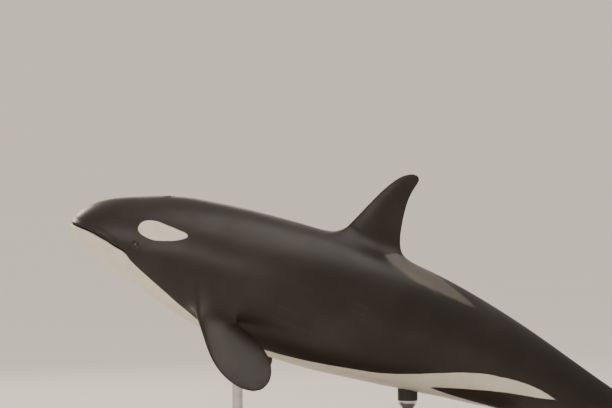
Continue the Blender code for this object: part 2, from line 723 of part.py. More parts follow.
def swollen_copy(animal, cutters):
    """The animal, larger all round by the gap, to cut the stand's saddles with."""
    swollen = animal.copy()
    for vert in swollen.verts:
        vert.normal_update()
    for vert in swollen.verts:
        vert.co += vert.normal * GAP
    data = bpy.data.meshes.new("belly_cutter")
    swollen.to_mesh(data)
    swollen.free()
    cutter = bpy.data.objects.new("belly_cutter", data)
    to_cutters(cutter, cutters)
    return cutter


def part_fins(animal, home):
    """Takes the dorsal and pectoral fins off at their roots, and returns what is left."""
    station, height = DORSAL_CUT
    place, along, up = spine_at(station)
    reach = DORSAL_CUT_REACH
    tilt = math.atan2(back_line(station + reach) - back_line(station - reach), 2 * reach)
    fin_up = (up * math.cos(tilt) - along * math.sin(tilt)).normalized()
    fin_foot = bent(station, 0.0, back_line(station)) + fin_up * (height * BODY_LENGTH)
    rest, dorsal = parted(animal, fin_foot, fin_up)
    add_part("dorsal_fin", dorsal, SKIN_BLACK, home)

    middle = sum(PECTORAL_FACES) / 2
    turn = row_angles(middle)[sum(PECTORAL_ROWS) // 2]
    for side, name in ((-1, "pectoral_fin_left"), (1, "pectoral_fin_right")):
        skin, out, back = skin_frame(middle, turn, side)
        rest, fin = parted(rest, skin + out * (PECTORAL_CUT * BODY_LENGTH), out)
        add_part(name, fin, SKIN_BLACK, home)
    return rest


def part_lengths(rest, home):
    """Parts the body across into its lengths, and the flukes down their middle."""
    lengths = [("head", None, NECK, SKIN_BLACK), ("torso", NECK, WAIST, SKIN_BLACK),
               ("abdomen", WAIST, HIP, SKIN_BLACK), ("tail_stock", HIP, FLUKE_ROOT, SKIN_BLACK)]
    for name, start, end, finish in lengths:
        piece = rest.copy()
        if start:
            place, along, up = spine_at(start)
            piece = below(piece, place, -along)
        place, along, up = spine_at(end)
        piece = below(piece, place, along)
        add_part(name, piece, finish, home)
    place, along, up = spine_at(FLUKE_ROOT)
    flukes = below(rest, place, -along)
    for side, name in ((-1, "fluke_left"), (1, "fluke_right")):
        half = below(flukes, Vector((0, 0, 0)), Vector((0, -side, 0)))
        add_part(name, half, SKIN_BLACK, home)


def part_jaw(surface, home, cutters):
    """Parts the lower jaw from the head along the mouth, and adds the lids, eyes and blowhole."""
    head = bpy.data.objects["head"]
    jaw = bpy.data.objects.new("lower_jaw", head.data.copy())
    home.objects.link(jaw)
    jaw.data.materials.clear()
    label, colour, roughness, metallic = SKIN_WHITE
    jaw.data.materials.append(material("lower_jaw_skin_white", colour, roughness, metallic))
    combine(jaw, [jaw_block("jaw_keep", -GAP / 2, cutters)], "INTERSECT")
    combine(head, [jaw_block("jaw_clear", GAP / 2, cutters)], "DIFFERENCE")
    combine(head, [add_lids(side, surface, cutters) for side in (-1, 1)], "UNION")
    sockets = []
    for side, name in ((-1, "eye_left"), (1, "eye_right")):
        skin, out, back = eye_frame(side, surface)
        centre = skin - out * EYE_INSET
        add_ball(name, centre, EYE_RADIUS, home)
        socket = add_ball(name + "_socket", centre, EYE_RADIUS + GAP, cutters)
        to_cutters(socket, cutters)
        sockets.append(socket)
    combine(head, sockets + [blowhole_groove(surface, cutters)], "DIFFERENCE")


build()
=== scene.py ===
# A life-size orca as a still museum model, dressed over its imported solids.
# The animal is modelled straight, in body lengths from the snout, and bent along its spine at the end.

import math

import bmesh
import bpy
import numpy as np
from mathutils import Matrix, Vector
from mathutils.bvhtree import BVHTree


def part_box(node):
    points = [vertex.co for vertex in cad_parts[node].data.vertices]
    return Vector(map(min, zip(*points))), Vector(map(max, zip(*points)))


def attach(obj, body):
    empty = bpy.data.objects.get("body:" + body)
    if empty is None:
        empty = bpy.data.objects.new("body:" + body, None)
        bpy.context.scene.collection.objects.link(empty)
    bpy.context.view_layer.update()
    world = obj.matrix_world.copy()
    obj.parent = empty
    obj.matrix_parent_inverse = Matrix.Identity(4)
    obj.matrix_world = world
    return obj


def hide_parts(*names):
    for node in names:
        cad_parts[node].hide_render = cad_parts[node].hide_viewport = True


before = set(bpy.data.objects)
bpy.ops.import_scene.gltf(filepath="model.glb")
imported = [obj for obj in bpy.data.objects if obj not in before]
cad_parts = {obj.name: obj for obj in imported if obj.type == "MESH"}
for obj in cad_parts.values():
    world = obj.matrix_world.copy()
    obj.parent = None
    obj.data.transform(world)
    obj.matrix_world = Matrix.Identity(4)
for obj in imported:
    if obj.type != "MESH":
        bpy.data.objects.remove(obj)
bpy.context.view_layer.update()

mergeGap = 0.00002                              # metres, for vertices doubled by spin or by packing
seedSize = 0.01                                 # for a first shape whose vertices are all placed later
thinnest = 0.0001                               # the least half width or height that is divided by
facingUp = 0.9                                  # of a normal's height
sharpAngle = math.radians(32)


def say(text):
    print("orca:", text)


# Curves and small helpers
def smoothLine(points, root=False):
    # a smooth curve through the points that never overshoots; root rounds it off at the snout
    table = np.array(points, float)
    place = np.sqrt(table[:, 0]) if root else table[:, 0]
    value = table[:, 1]
    step = np.diff(place)
    rise = np.diff(value) / step
    slope = np.concatenate([rise[:1], np.zeros(len(rise) - 1), rise[-1:]])
    for i in range(1, len(rise)):
        if rise[i - 1] * rise[i] > 0:
            before, after = 2 * step[i] + step[i - 1], step[i] + 2 * step[i - 1]
            slope[i] = (before + after) / (before / rise[i - 1] + after / rise[i])

    def at(x):
        x = np.asarray(x, float)
        x = np.clip(np.sqrt(np.maximum(x, 0)) if root else x, place[0], place[-1])
        i = np.clip(np.searchsorted(place, x, side="right") - 1, 0, len(step) - 1)
        t = (x - place[i]) / step[i]
        start = value[i] * (2 * t**3 - 3 * t**2 + 1) + slope[i] * step[i] * (t**3 - 2 * t**2 + t)
        return start + value[i + 1] * (3 * t**2 - 2 * t**3) + slope[i + 1] * step[i] * (t**3 - t**2)

    return at


def fade(x, start, end):
    t = np.clip((np.asarray(x, float) - start) / (end - start), 0, 1)
    return t * t * (3 - 2 * t)


def bump(distance, width):
    return np.exp(-(np.asarray(distance, float) / width) ** 2)


def between(values, span):
    return (values > span[0]) & (values < span[1])


def selectOnly(piece):
    bpy.ops.object.select_all(action="DESELECT")
    piece.select_set(True)
    bpy.context.view_layer.objects.active = piece


def pick(piece, kind, wanted):
    # goes into edit mode with only the wanted vertices, edges or faces selected
    if piece.mode == "OBJECT":
        selectOnly(piece)
        bpy.ops.object.mode_set(mode="EDIT")
    bpy.ops.mesh.select_mode(type=kind)
    bpy.ops.mesh.select_all(action="DESELECT")
    edit = bmesh.from_edit_mesh(piece.data)
    for item in {"VERT": edit.verts, "EDGE": edit.edges, "FACE": edit.faces}[kind]:
        item.select_set(bool(wanted(item)))
    if kind == "VERT":
        edit.select_flush(True)
    bmesh.update_edit_mesh(piece.data)


def cleanMesh(piece, merge=True, outwards=True):
    # merges doubled vertices and turns the faces outwards
    selectOnly(piece)
    bpy.ops.object.mode_set(mode="EDIT")
    bpy.ops.mesh.select_all(action="SELECT")
    if merge:
        bpy.ops.mesh.remove_doubles(threshold=mergeGap)
    if outwards:
        bpy.ops.mesh.normals_make_consistent(inside=False)
    bpy.ops.object.mode_set(mode="OBJECT")


def applyModifier(piece, kind, **settings):
    selectOnly(piece)
    added = piece.modifiers.new(kind.lower(), kind)
    for name, value in settings.items():
        setattr(added, name, value)
    bpy.ops.object.modifier_apply(modifier=added.name)


def copyPiece(piece, name):
    made = piece.copy()
    made.data = piece.data.copy()
    made.name = name
    bpy.context.scene.collection.objects.link(made)
    return made


def joinPieces(pieces):
    selectOnly(pieces[0])
    for piece in pieces:
        piece.select_set(True)
    bpy.ops.object.join()
    return bpy.context.object


def readPoints(mesh, what="co"):
    values = np.zeros(len(mesh.vertices) * 3, np.float32)
    mesh.vertices.foreach_get(what, values)
    return values.reshape(-1, 3).astype(float)


def writePoints(mesh, points):
    mesh.vertices.foreach_set("co", np.ascontiguousarray(points, np.float32).ravel())
    mesh.update()


def readField(mesh, name):
    values = np.zeros(len(mesh.vertices), np.float32)
    mesh.attributes[name].data.foreach_get("value", values)
    return values.astype(float)


def addField(mesh, name, values):
    # one number, or one vector, for each vertex
    values = np.ascontiguousarray(values, np.float32)
    if values.ndim == 1:
        mesh.attributes.new(name, "FLOAT", "POINT").data.foreach_set("value", values)
    else:
        mesh.attributes.new(name, "FLOAT_VECTOR", "POINT").data.foreach_set("vector", values.ravel())


# The straight animal, in body lengths: first figures count from the snout towards the notch
body = dict(
    length=5.8,
    back=[(0, -0.012), (0.003, 0.0010), (0.01, 0.0135), (0.03, 0.0325), (0.06, 0.0485),
          (0.09, 0.0600), (0.125, 0.0722), (0.18, 0.0835), (0.26, 0.0920), (0.36, 0.0955),
          (0.5, 0.0895), (0.65, 0.0690), (0.8, 0.0405), (0.92, 0.0180), (1.0, 0.0045)],
    belly=[(0, -0.012), (0.003, -0.0175), (0.01, -0.0285), (0.03, -0.0400), (0.07, -0.0535),
           (0.12, -0.0700), (0.2, -0.0925), (0.28, -0.1040), (0.36, -0.1060), (0.5, -0.0940),
           (0.65, -0.0670), (0.8, -0.0365), (0.92, -0.0160), (1.0, -0.0045)],
    halfWidth=[(0, 0.0), (0.003, 0.0125), (0.01, 0.0225), (0.03, 0.0370), (0.07, 0.0540),
               (0.12, 0.0670), (0.2, 0.0810), (0.3, 0.0900), (0.38, 0.0910), (0.5, 0.0820),
               (0.62, 0.0620), (0.75, 0.0365), (0.86, 0.0200), (0.93, 0.0150), (1.0, 0.0140)],
    widest=[(0, -0.0125), (0.05, -0.0120), (0.1, -0.0085), (0.35, -0.0040), (0.6, 0.0), (1.0, 0.0)],
    upperKeel=[(0, 0.92), (0.1, 1.0), (0.3, 0.95), (0.5, 1.05), (0.7, 1.3), (0.86, 1.5), (1.0, 1.1)],
    lowerKeel=[(0, 0.80), (0.1, 0.86), (0.3, 0.92), (0.5, 1.0), (0.7, 1.25), (0.86, 1.4), (1.0, 1.1)],
    spineSlope=[(0, 18.5), (0.1, 18.5), (0.2, 19.5), (0.3, 18.0), (0.42, 18.0), (0.55, 21.5),
                (0.72, 25.0), (0.86, 22.0), (0.95, 13.0), (1.03, 8.0)],
    stations=[0.0008, 0.004, 0.012, 0.024, 0.040, 0.057, 0.072, 0.084, 0.098, 0.116, 0.136, 0.158,
              0.181, 0.203, 0.2195, 0.236, 0.2525, 0.269, 0.298, 0.332, 0.3615, 0.3895, 0.4175,
              0.4455, 0.4735, 0.515, 0.565, 0.620, 0.680, 0.740, 0.800, 0.845, 0.878, 0.902,
              0.916, 0.935, 0.954, 0.973, 0.991],
    halfRows=12, mouthRow=6, rowsEvenBy=0.181,
    tailFrom=0.850, tailTo=0.916, tailSpread=0.62,   # there the rows open out for the flukes' roots
    fuller=1.05,                                # the girth, against that of a plain ellipse
)
backLine = smoothLine(body["back"], root=True)
bellyLine = smoothLine(body["belly"], root=True)
halfWidth = smoothLine(body["halfWidth"], root=True)
widestLevel = smoothLine(body["widest"])
upperKeel = smoothLine(body["upperKeel"])
lowerKeel = smoothLine(body["lowerKeel"])
spineSlope = smoothLine(body["spineSlope"])

mouth = dict(
    line=[(0, -0.0125), (0.025, -0.0130), (0.055, -0.0172), (0.084, -0.0228), (0.16, -0.0160)],
    corner=0.084, closing=(-0.012, 0.006),      # from and to, past the corner
    depth=0.0045,
    lipHeight=0.0030, lipSwell=0.0012, lipStart=0.25, lipFullBy=0.02, narrowUnder=0.02,
    creaseDepth=0.010, creaseWidth=0.0045,      # the line itself; from here on depths are in metres
    lineEnds=(-0.003, 0.004), shadeSpread=1.15,  # from and to, past the corner, in body lengths
    tipShare=0.35, tipTo=0.010,                 # shallower round the snout's tight front
    rollHeight=0.0030, rollWidth=0.011, rollAt=0.017, rollShares=((1, 1.0), (-1, 0.8)),
    beakDepth=0.0040, beakWidth=0.020, beakAt=0.052, beakFade=(0.035, 0.075),
)
mouthLine = smoothLine(mouth["line"])


def sectionPoint(s, angle):
    # half width and height of the skin at a station, at an angle from the widest level
    level = widestLevel(s)
    above = angle > 0
    reach = backLine(s) - level if above else level - bellyLine(s)
    keel = upperKeel(s) if above else lowerKeel(s)
    return halfWidth(s) * max(math.cos(angle), 0.0) ** keel, level + reach * math.sin(angle)


def angleAt(s, height):
    level = widestLevel(s)
    reach = backLine(s) - level if height > level else level - bellyLine(s)
    return math.asin(float(np.clip((height - level) / reach, -1, 1)))


def ringOf(s):
    # one side of a ring of the cage, belly line first; three rows keep to the mouth and its lips
    rows, row = body["halfRows"], body["mouthRow"]
    even = np.linspace(-1, 1, rows + 1)
    spread = 1 - (1 - body["tailSpread"]) * float(fade(s, body["tailFrom"], body["tailTo"]))
    even = np.sign(even) * np.abs(even) ** spread * math.pi / 2
    lip = mouth["lipHeight"] * min(1.0, mouth["lipStart"] + s / mouth["lipFullBy"])
    low, middle, high = (angleAt(s, mouthLine(s) + d) for d in (-lip, 0.0, lip))
    along = np.concatenate([
        np.linspace(-math.pi / 2, low, row), [middle], np.linspace(high, math.pi / 2, rows - row),
    ])
    share = fade(s, mouth["corner"], body["rowsEvenBy"])
    closing = 1 - fade(s - mouth["corner"], *mouth["closing"])
    small = min(1.0, float(halfWidth(s)) / mouth["narrowUnder"])
    points = []
    for i, angle in enumerate(along * (1 - share) + even * share):
        side, height = sectionPoint(s, angle)
        if i == row:
            side -= mouth["depth"] * closing * small
        elif abs(i - row) == 1:
            side += mouth["lipSwell"] * closing * small
        points.append((s, max(float(side), 0.0), float(height)))
    return points


# Fins: levels run from the root outwards, each with its leading edge, trailing edge and thickness
blade = dict(
    chordShares=[0.03, 0.25, 0.52, 0.80, 0.985],
    thicknessShares=[0.46, 0.96, 0.97, 0.58, 0.20],
    edgeShares=(-0.012, 1.010),
)
dorsal = dict(
    faces=(0.3615, 0.4735),
    levels=[0.1045, 0.118, 0.136, 0.156, 0.175, 0.192, 0.2030, 0.2085, 0.2115],
    lead=[(0.100, 0.3770), (0.119, 0.3865), (0.139, 0.3965), (0.174, 0.4137), (0.190, 0.4235),
          (0.200, 0.4312), (0.2065, 0.4380), (0.2120, 0.4485)],
    trail=[(0.100, 0.4660), (0.1085, 0.4615), (0.124, 0.4578), (0.148, 0.4543), (0.172, 0.4528),
           (0.184, 0.4532), (0.194, 0.4562), (0.2025, 0.4590), (0.2085, 0.4583), (0.2120, 0.4540)],
    thickness=[(0.100, 0.0098), (0.122, 0.0068), (0.147, 0.0052), (0.175, 0.0038),
               (0.199, 0.0024), (0.2120, 0.0009)],
)
pectoral = dict(
    faces=(0.203, 0.269), rows=(3, 5), root=(0.2360, 0.0640, -0.0620), sweep=36.0, droop=42.0,
    squareBy=0.05,                              # from there the sections stand square to the flipper
    levels=[0.020, 0.038, 0.062, 0.090, 0.118, 0.138, 0.1490, 0.1542],
    lead=[(0.0, -0.0310), (0.03, -0.0315), (0.06, -0.0365), (0.09, -0.0395), (0.12, -0.0355),
          (0.138, -0.0260), (0.149, -0.0150), (0.1545, -0.0030)],
    trail=[(0.0, 0.0205), (0.02, 0.0235), (0.038, 0.0300), (0.06, 0.0390), (0.09, 0.0460),
           (0.118, 0.0425), (0.138, 0.0320), (0.149, 0.0205), (0.1545, 0.0090)],
    thickness=[(0.0, 0.0120), (0.03, 0.0090), (0.06, 0.0070), (0.1, 0.0048), (0.13, 0.0032),
               (0.153, 0.0012)],
)
fluke = dict(
    faces=(0.916, 0.991), rows=(5, 7), droop=0.05,
    levels=[0.021, 0.036, 0.056, 0.078, 0.100, 0.118, 0.129, 0.1350],
    lead=[(0.0, 0.9080), (0.021, 0.9215), (0.036, 0.9330), (0.056, 0.9485), (0.08, 0.9680),
          (0.105, 0.9905), (0.122, 1.0085), (0.1355, 1.0270)],
    trail=[(0.0, 0.9965), (0.021, 1.0050), (0.036, 1.0085), (0.056, 1.0105), (0.08, 1.0135),
           (0.105, 1.0185), (0.122, 1.0245), (0.1355, 1.0320)],
    thickness=[(0.0, 0.0105), (0.021, 0.0090), (0.036, 0.0076), (0.056, 0.0061), (0.08, 0.0046),
               (0.105, 0.0032), (0.122, 0.0021), (0.1355, 0.0010)],
)


def bladeLoop(lead, trail, thickness, put):
    # the points of a blade's section by their place in the block that it is extruded from:
    # 0 to 4 on one side, 5 to 9 on the other, 10 to 14 along the middle, edges included
    chord = trail - lead
    along = [lead + c * chord for c in blade["chordShares"]]
    across = [t * thickness for t in blade["thicknessShares"]]
    front, rear = (lead + c * chord for c in blade["edgeShares"])
    lower = [put(a, -t) for a, t in zip(along, across)]
    upper = [put(a, t) for a, t in zip(along, across)]
    return lower + upper + [put(a, 0.0) for a in (front, *along[1:4], rear)]


def finCurves(fin):
    return [smoothLine(fin[name]) for name in ("lead", "trail", "thickness")]


def dorsalLoops():
    lead, trail, thickness = finCurves(dorsal)
    return [
        bladeLoop(lead(z), trail(z), thickness(z), lambda a, t, z=z: (a, t, z)) for z in dorsal["levels"]
    ]


def pectoralLoops(side):
    lead, trail, thickness = finCurves(pectoral)
    sweep, droop = math.radians(pectoral["sweep"]), math.radians(pectoral["droop"])
    flat, down = math.cos(droop), math.sin(droop)
    out = Vector((math.sin(sweep), math.cos(sweep) * flat, -math.cos(sweep) * down))
    squared = Vector((math.cos(sweep), -math.sin(sweep) * flat, math.sin(sweep) * down))
    loops = []
    for t in pectoral["levels"]:
        back = Vector((1, 0, 0)).lerp(squared, float(fade(t, 0.0, pectoral["squareBy"]))).normalized()
        up = back.cross(out).normalized()
        middle = Vector(pectoral["root"]) + out * t

        def put(a, across, middle=middle, back=back, up=up):
            point = middle + back * float(a) + up * float(across)
            return (point.x, side * point.y, point.z)

        loops.append(bladeLoop(lead(t), trail(t), thickness(t), put))
    return loops


def flukeLoops(side):
    lead, trail, thickness = finCurves(fluke)
    return [
        bladeLoop(lead(y), trail(y), thickness(y),
                  lambda a, t, y=y: (a, side * y, t - fluke["droop"] * y))
        for y in fluke["levels"]
    ]


def markLayers(edit, *names):
    return [edit.verts.layers.int[name] for name in names]


def growTrunk():
    # a filled circle is extruded from the snout to the notch, one ring for each station
    rows = body["halfRows"]
    count = 2 * rows
    bpy.ops.object.select_all(action="DESELECT")
    bpy.ops.mesh.primitive_circle_add(vertices=count, radius=seedSize, fill_type="NGON")
    piece = bpy.context.object
    bpy.ops.object.mode_set(mode="EDIT")
    edit = bmesh.from_edit_mesh(piece.data)
    for name in ("rowMark", "ringMark", "bladeMark"):
        edit.verts.layers.int.new(name)
    edit.verts.layers.float.new("finShare")
    rowMark = edit.verts.layers.int["rowMark"]
    for i, vert in enumerate(edit.verts):
        vert[rowMark] = i
    for number, station in enumerate(body["stations"]):
        if number:
            bpy.ops.mesh.extrude_region_move()
        edit = bmesh.from_edit_mesh(piece.data)
        rowMark, ringMark = markLayers(edit, "rowMark", "ringMark")
        half = ringOf(station)
        for vert in edit.verts:
            if vert.select:
                row = vert[rowMark]
                x, side, height = half[row if row <= rows else count - row]
                vert.co = (x, -side if row <= rows else side, height)
                vert[ringMark] = number
        bmesh.update_edit_mesh(piece.data)
    bpy.ops.object.mode_set(mode="OBJECT")
    return piece


def growFin(piece, stations, middleRow, loops, turn=1):
    # a block of four by two faces is extruded outwards, level after level
    count = 2 * body["halfRows"]
    first, last = (body["stations"].index(s) for s in stations)
    chord = len(blade["chordShares"])
    starts = {
        (middleRow - turn) % count: 0, (middleRow + turn) % count: chord, middleRow % count: 2 * chord,
    }
    selectOnly(piece)
    bpy.ops.object.mode_set(mode="EDIT")
    bpy.ops.mesh.select_mode(type="FACE")
    bpy.ops.mesh.select_all(action="DESELECT")
    edit = bmesh.from_edit_mesh(piece.data)
    rowMark, ringMark, bladeMark = markLayers(edit, "rowMark", "ringMark", "bladeMark")

    def inBlock(vert):
        return vert[rowMark] in starts and first <= vert[ringMark] <= last

    for face in edit.faces:
        if len(face.verts) == 4 and all(inBlock(vert) for vert in face.verts):
            face.select_set(True)
            for vert in face.verts:
                vert[bladeMark] = starts[vert[rowMark]] + vert[ringMark] - first
    bmesh.update_edit_mesh(piece.data)
    for points in loops:
        bpy.ops.mesh.extrude_region_move()
        edit = bmesh.from_edit_mesh(piece.data)
        bladeMark, ringMark = markLayers(edit, "bladeMark", "ringMark")
        finShare = edit.verts.layers.float["finShare"]
        for vert in edit.verts:
            if vert.select:
                vert.co = points[vert[bladeMark]]
                vert[ringMark] = -1
                vert[finShare] = 1.0
        bmesh.update_edit_mesh(piece.data)
    bpy.ops.object.mode_set(mode="OBJECT")


def growSkin():
    piece = growTrunk()
    growFin(piece, dorsal["faces"], body["halfRows"], dorsalLoops())
    for side in (-1, 1):
        for fin, loops in ((pectoral, pectoralLoops(side)), (fluke, flukeLoops(side))):
            middle = sum(fin["rows"]) // 2
            row = middle if side < 0 else 2 * body["halfRows"] - middle
            growFin(piece, fin["faces"], row, loops, turn=-side)
    cleanMesh(piece, merge=False)
    for name in ("rowMark", "ringMark", "bladeMark"):
        piece.data.attributes.remove(piece.data.attributes[name])
    piece.data.transform(Matrix.Scale(body["length"], 4))
    return piece


# From here on the straight animal is in metres, x from the snout and z from the spine, but a
# station is still a share of the body's length
fineness = dict(
    headTo=0.175, headFade=(0.19, 0.20),
    surfaceTo=0.205, surfaceMargin=0.03, surfaceLevels=5,
    flank=(0.172, 0.760), flankEdge=0.060, flankMargins=(0.07, 0.12), flankLevels=4,
    steps=[                                     # how far round each form the skin is split again
        dict(mouth=0.038, eye=0.105, blowhole=0.050, belly=0.110, patch=0.030),
        dict(mouth=0.010, eye=0.075, blowhole=0.032, belly=0.080, patch=0.012),
        dict(mouth=0.0, eye=0.054, blowhole=0.012, belly=0.045, patch=0.0),
        dict(mouth=0.0, eye=0.026, blowhole=0.0, belly=0.022, patch=0.0),
    ],
)
eye = dict(
    station=0.0985, height=-0.0085,             # in body lengths, all else in metres or shares
    radius=0.031, inset=0.0235, ballEdge=0.96, reach=0.11,
    halfLong=0.0215, upperLid=0.0125, lowerLid=0.0110, cornerRound=0.0022, tilt=-8.0,
    lidHeight=0.0026, lidRound=0.0030, lidDrop=0.60, lidSoft=0.0030, lidFade=(0.022, 0.050),
    swelling=0.0012, swellAt=0.024, swellWidth=0.012,
    pocket=0.020, pocketEdge=(-0.0026, -0.0004),
    foldFade=0.45, creaseTaper=0.4, creaseFade=0.15, linesFrom=(0.001, 0.006),
    # the shade painted at the lids' rim and along the folds and creases
    rimShade=(-0.0005, 0.0030), lineShade=0.0060, lineShadeMost=0.5,
    folds=[                                     # height, curve, half length, depth, width
        (0.0225, -9.5, 0.036, 0.0022, 0.0034), (0.0360, -7.0, 0.048, 0.0008, 0.0046),
        (-0.0200, 8.5, 0.034, 0.0014, 0.0032), (-0.0300, 6.0, 0.042, 0.0006, 0.0042),
    ],
    creases=[                                   # from and to, depth, width
        ((0.0205, -0.0005), (0.0520, -0.0080), 0.0022, 0.0030),
        ((-0.0205, -0.0005), (-0.0430, -0.0120), 0.0019, 0.0028),
    ],
)
blowhole = dict(
    station=0.116, above=0.05, radius=0.062, arc=75.0, depth=0.013, width=0.0042, shadeSpread=1.1,
    rimHeight=0.0020, rimAt=0.014, rimWidth=0.010, rimTurn=2.2, plugRise=0.0016,
    farAway=9.0,                                # the distance of all that is below it
)
mouthFold = dict(
    length=0.052, slope=0.16, turn=9.0, depth=0.0055, width=0.0060, shade=0.8,
    starts=(-0.003, 0.002), fadesFrom=0.004, margin=0.004,   # past the corner, in body lengths
)
underside = dict(
    start=0.45, rimShare=0.25, rimAt=2.6, rimWidth=1.3, finerPast=1.5,
    slits=[                                     # station, half length, finer half, aside, depth, width
        (0.505, 0.022, 0.0232, 0.0, 0.008, 0.010),
        (0.632, 0.116, 0.1160, 0.0, 0.012, 0.007),
        (0.640, 0.030, 0.0290, 0.055, 0.007, 0.007),
    ],
)


def stationOf(points):
    return points[:, 0] / body["length"]


def girthShare(points):
    # 0 on the belly line, 0.5 at the widest level, 1 on the back line
    s = stationOf(points)
    level = widestLevel(s)
    height = points[:, 2] / body["length"] - level
    reach = np.where(height > 0, backLine(s) - level, level - bellyLine(s))
    across = np.abs(points[:, 1]) / body["length"] / np.maximum(halfWidth(s), thinnest)
    return 0.5 + np.arctan2(height / np.maximum(reach, thinnest), across) / math.pi


def halfGirth(s):
    # metres from the belly line round to the back line, roughly
    middle = (halfWidth(s) + (backLine(s) - bellyLine(s)) / 2) / 2
    return math.pi * middle * body["length"] * body["fuller"]


def refine(piece, wanted):
    # splits every face whose corners all lie in the wanted region
    chosen = wanted(readPoints(piece.data))
    pick(piece, "VERT", lambda vert: chosen[vert.index])
    bpy.ops.mesh.subdivide(number_cuts=1, quadcorner="INNERVERT", ngon=False)
    bpy.ops.object.mode_set(mode="OBJECT")


def limitSurface(cage, start, end, levels):
    # a very fine copy of one length of the cage, to lay the refined skin on
    piece = copyPiece(cage, "limitSurface")
    pick(piece, "VERT", lambda vert: not start <= vert.co.x / body["length"] <= end)
    bpy.ops.mesh.delete(type="VERT")
    bpy.ops.object.mode_set(mode="OBJECT")
    applyModifier(piece, "SUBSURF", levels=levels, render_levels=levels)
    return piece


def layOn(piece, target, wanted):
    group = piece.vertex_groups.new(name="laid")
    group.add([int(i) for i in np.nonzero(wanted(readPoints(piece.data)))[0]], 1.0, "REPLACE")
    applyModifier(piece, "SHRINKWRAP", target=target, wrap_method="NEAREST_SURFACEPOINT",
                  vertex_group="laid")
    piece.vertex_groups.clear()
    bpy.data.objects.remove(target)


def eyeSpots(surface):
    # for each side: the skin's point over the eye, the way out, the way back and the way up
    s, step = eye["station"], 0.004
    turn = angleAt(s, eye["height"])
    across, level = sectionPoint(s, turn)
    ahead, behind = sectionPoint(s - step, turn), sectionPoint(s + step, turn)
    below, above = sectionPoint(s, turn - step), sectionPoint(s, turn + step)
    cosTilt, sinTilt = math.cos(math.radians(eye["tilt"])), math.sin(math.radians(eye["tilt"]))
    spots = {}
    for side in (-1, 1):
        drawn = Vector((s, side * float(across), float(level))) * body["length"]
        along = Vector((2 * step, side * float(behind[0] - ahead[0]), float(behind[1] - ahead[1])))
        rise = Vector((0.0, side * float(above[0] - below[0]), float(above[1] - below[1])))
        out = (along.cross(rise) * -side).normalized()
        back = (along - out * along.dot(out)).normalized()
        up = out.cross(back).normalized()
        if up.z < 0:
            up.negate()
        tilted = back * cosTilt + up * sinTilt
        spots[side] = (surface.find_nearest(drawn)[0], out, tilted, up * cosTilt - back * sinTilt)
    return spots


def nearEye(points, spots, reach):
    near = np.zeros(len(points), bool)
    for place, *_ in spots.values():
        near |= np.linalg.norm(points - np.array(place), axis=1) < reach
    return near


def lineOfMouth(s):
    # height of the mouth's line, which curves down in a short fold behind the corner
    past = np.maximum(s - mouth["corner"], 0.0) * body["length"]
    return mouthLine(s) * body["length"] - past * mouthFold["slope"] - past**2 * mouthFold["turn"]


def nearMouth(points, reach):
    s = stationOf(points)
    end = mouth["corner"] + mouthFold["length"] / body["length"] + mouthFold["margin"]
    return (np.abs(points[:, 2] - lineOfMouth(s)) < reach) & (s < end)


def blowholeDistance(points):
    # metres from the arc of the blowhole, with the radius and turn round its middle
    across = points[:, 1]
    along = points[:, 0] - blowhole["station"] * body["length"]
    radius = np.hypot(across, along)
    turn = np.arctan2(np.abs(across), along)
    end = math.radians(blowhole["arc"])
    endGap = np.hypot(along - blowhole["radius"] * math.cos(end),
                      np.abs(across) - blowhole["radius"] * math.sin(end))
    gap = np.where(turn < end, np.abs(radius - blowhole["radius"]), endGap)
    return np.where(points[:, 2] > blowhole["above"], gap, blowhole["farAway"]), radius, turn


def nearSlits(points, reach):
    near = np.zeros(len(points), bool)
    for station, _, finer, aside, _, _ in underside["slits"]:
        along = np.abs(points[:, 0] - station * body["length"])
        across = np.abs(np.abs(points[:, 1]) - aside)
        near |= (along < finer + underside["finerPast"] * reach) & (across < reach)
    return near & (points[:, 2] < 0)


def lidDistance(u, v):
    # metres outside the opening between the lids, which two arcs make, with their corners rounded
    half, soft = eye["halfLong"], eye["cornerRound"]
    gaps = []
    for tall, way in ((eye["upperLid"], 1), (eye["lowerLid"], -1)):
        radius = (half**2 + tall**2) / (2 * tall)
        gaps.append(np.hypot(u, v - way * (tall - radius)) - radius)
    high, low = np.maximum(*gaps), np.minimum(*gaps)
    return high + soft * np.log1p(np.exp((low - high) / soft))


def alongLine(u, v, start, end):
    # share of the way along a straight line, and the distance from it, past its ends too
    run = np.array(end) - np.array(start)
    share = np.clip(((u - start[0]) * run[0] + (v - start[1]) * run[1]) / (run @ run), 0, 1)
    return share, np.hypot(u - start[0] - share * run[0], v - start[1] - share * run[1])


def mouthForms(points):
    # how far the mouth pushes the skin out, and the painted shade in its crease: the line, the
    # lips' rolls, the groove over the beak and the fold behind the corner
    s = stationOf(points)
    gap = points[:, 2] - lineOfMouth(s)
    past = s - mouth["corner"]
    opened = 1 - fade(past, *mouth["lineEnds"])
    foldOut = fade(past, mouthFold["fadesFrom"], mouthFold["length"] / body["length"])
    shadedFold = fade(past, *mouthFold["starts"]) * (1 - foldOut)
    tip = mouth["tipShare"] + (1 - mouth["tipShare"]) * fade(s, 0.0, mouth["tipTo"])
    push = -mouth["creaseDepth"] * bump(gap, mouth["creaseWidth"]) * opened * tip
    for sign, share in mouth["rollShares"]:
        roll = bump(gap - sign * mouth["rollAt"], mouth["rollWidth"])
        push += mouth["rollHeight"] * share * roll * opened
    beak = bump(gap - mouth["beakAt"], mouth["beakWidth"]) * (1 - fade(s, *mouth["beakFade"]))
    push -= mouth["beakDepth"] * beak + mouthFold["depth"] * bump(gap, mouthFold["width"]) * shadedFold
    # painted shade along the mouth's crease and in the fold behind the corner
    shade = bump(gap, mouth["creaseWidth"] * mouth["shadeSpread"])
    return push, shade * np.maximum(opened, mouthFold["shade"] * shadedFold)


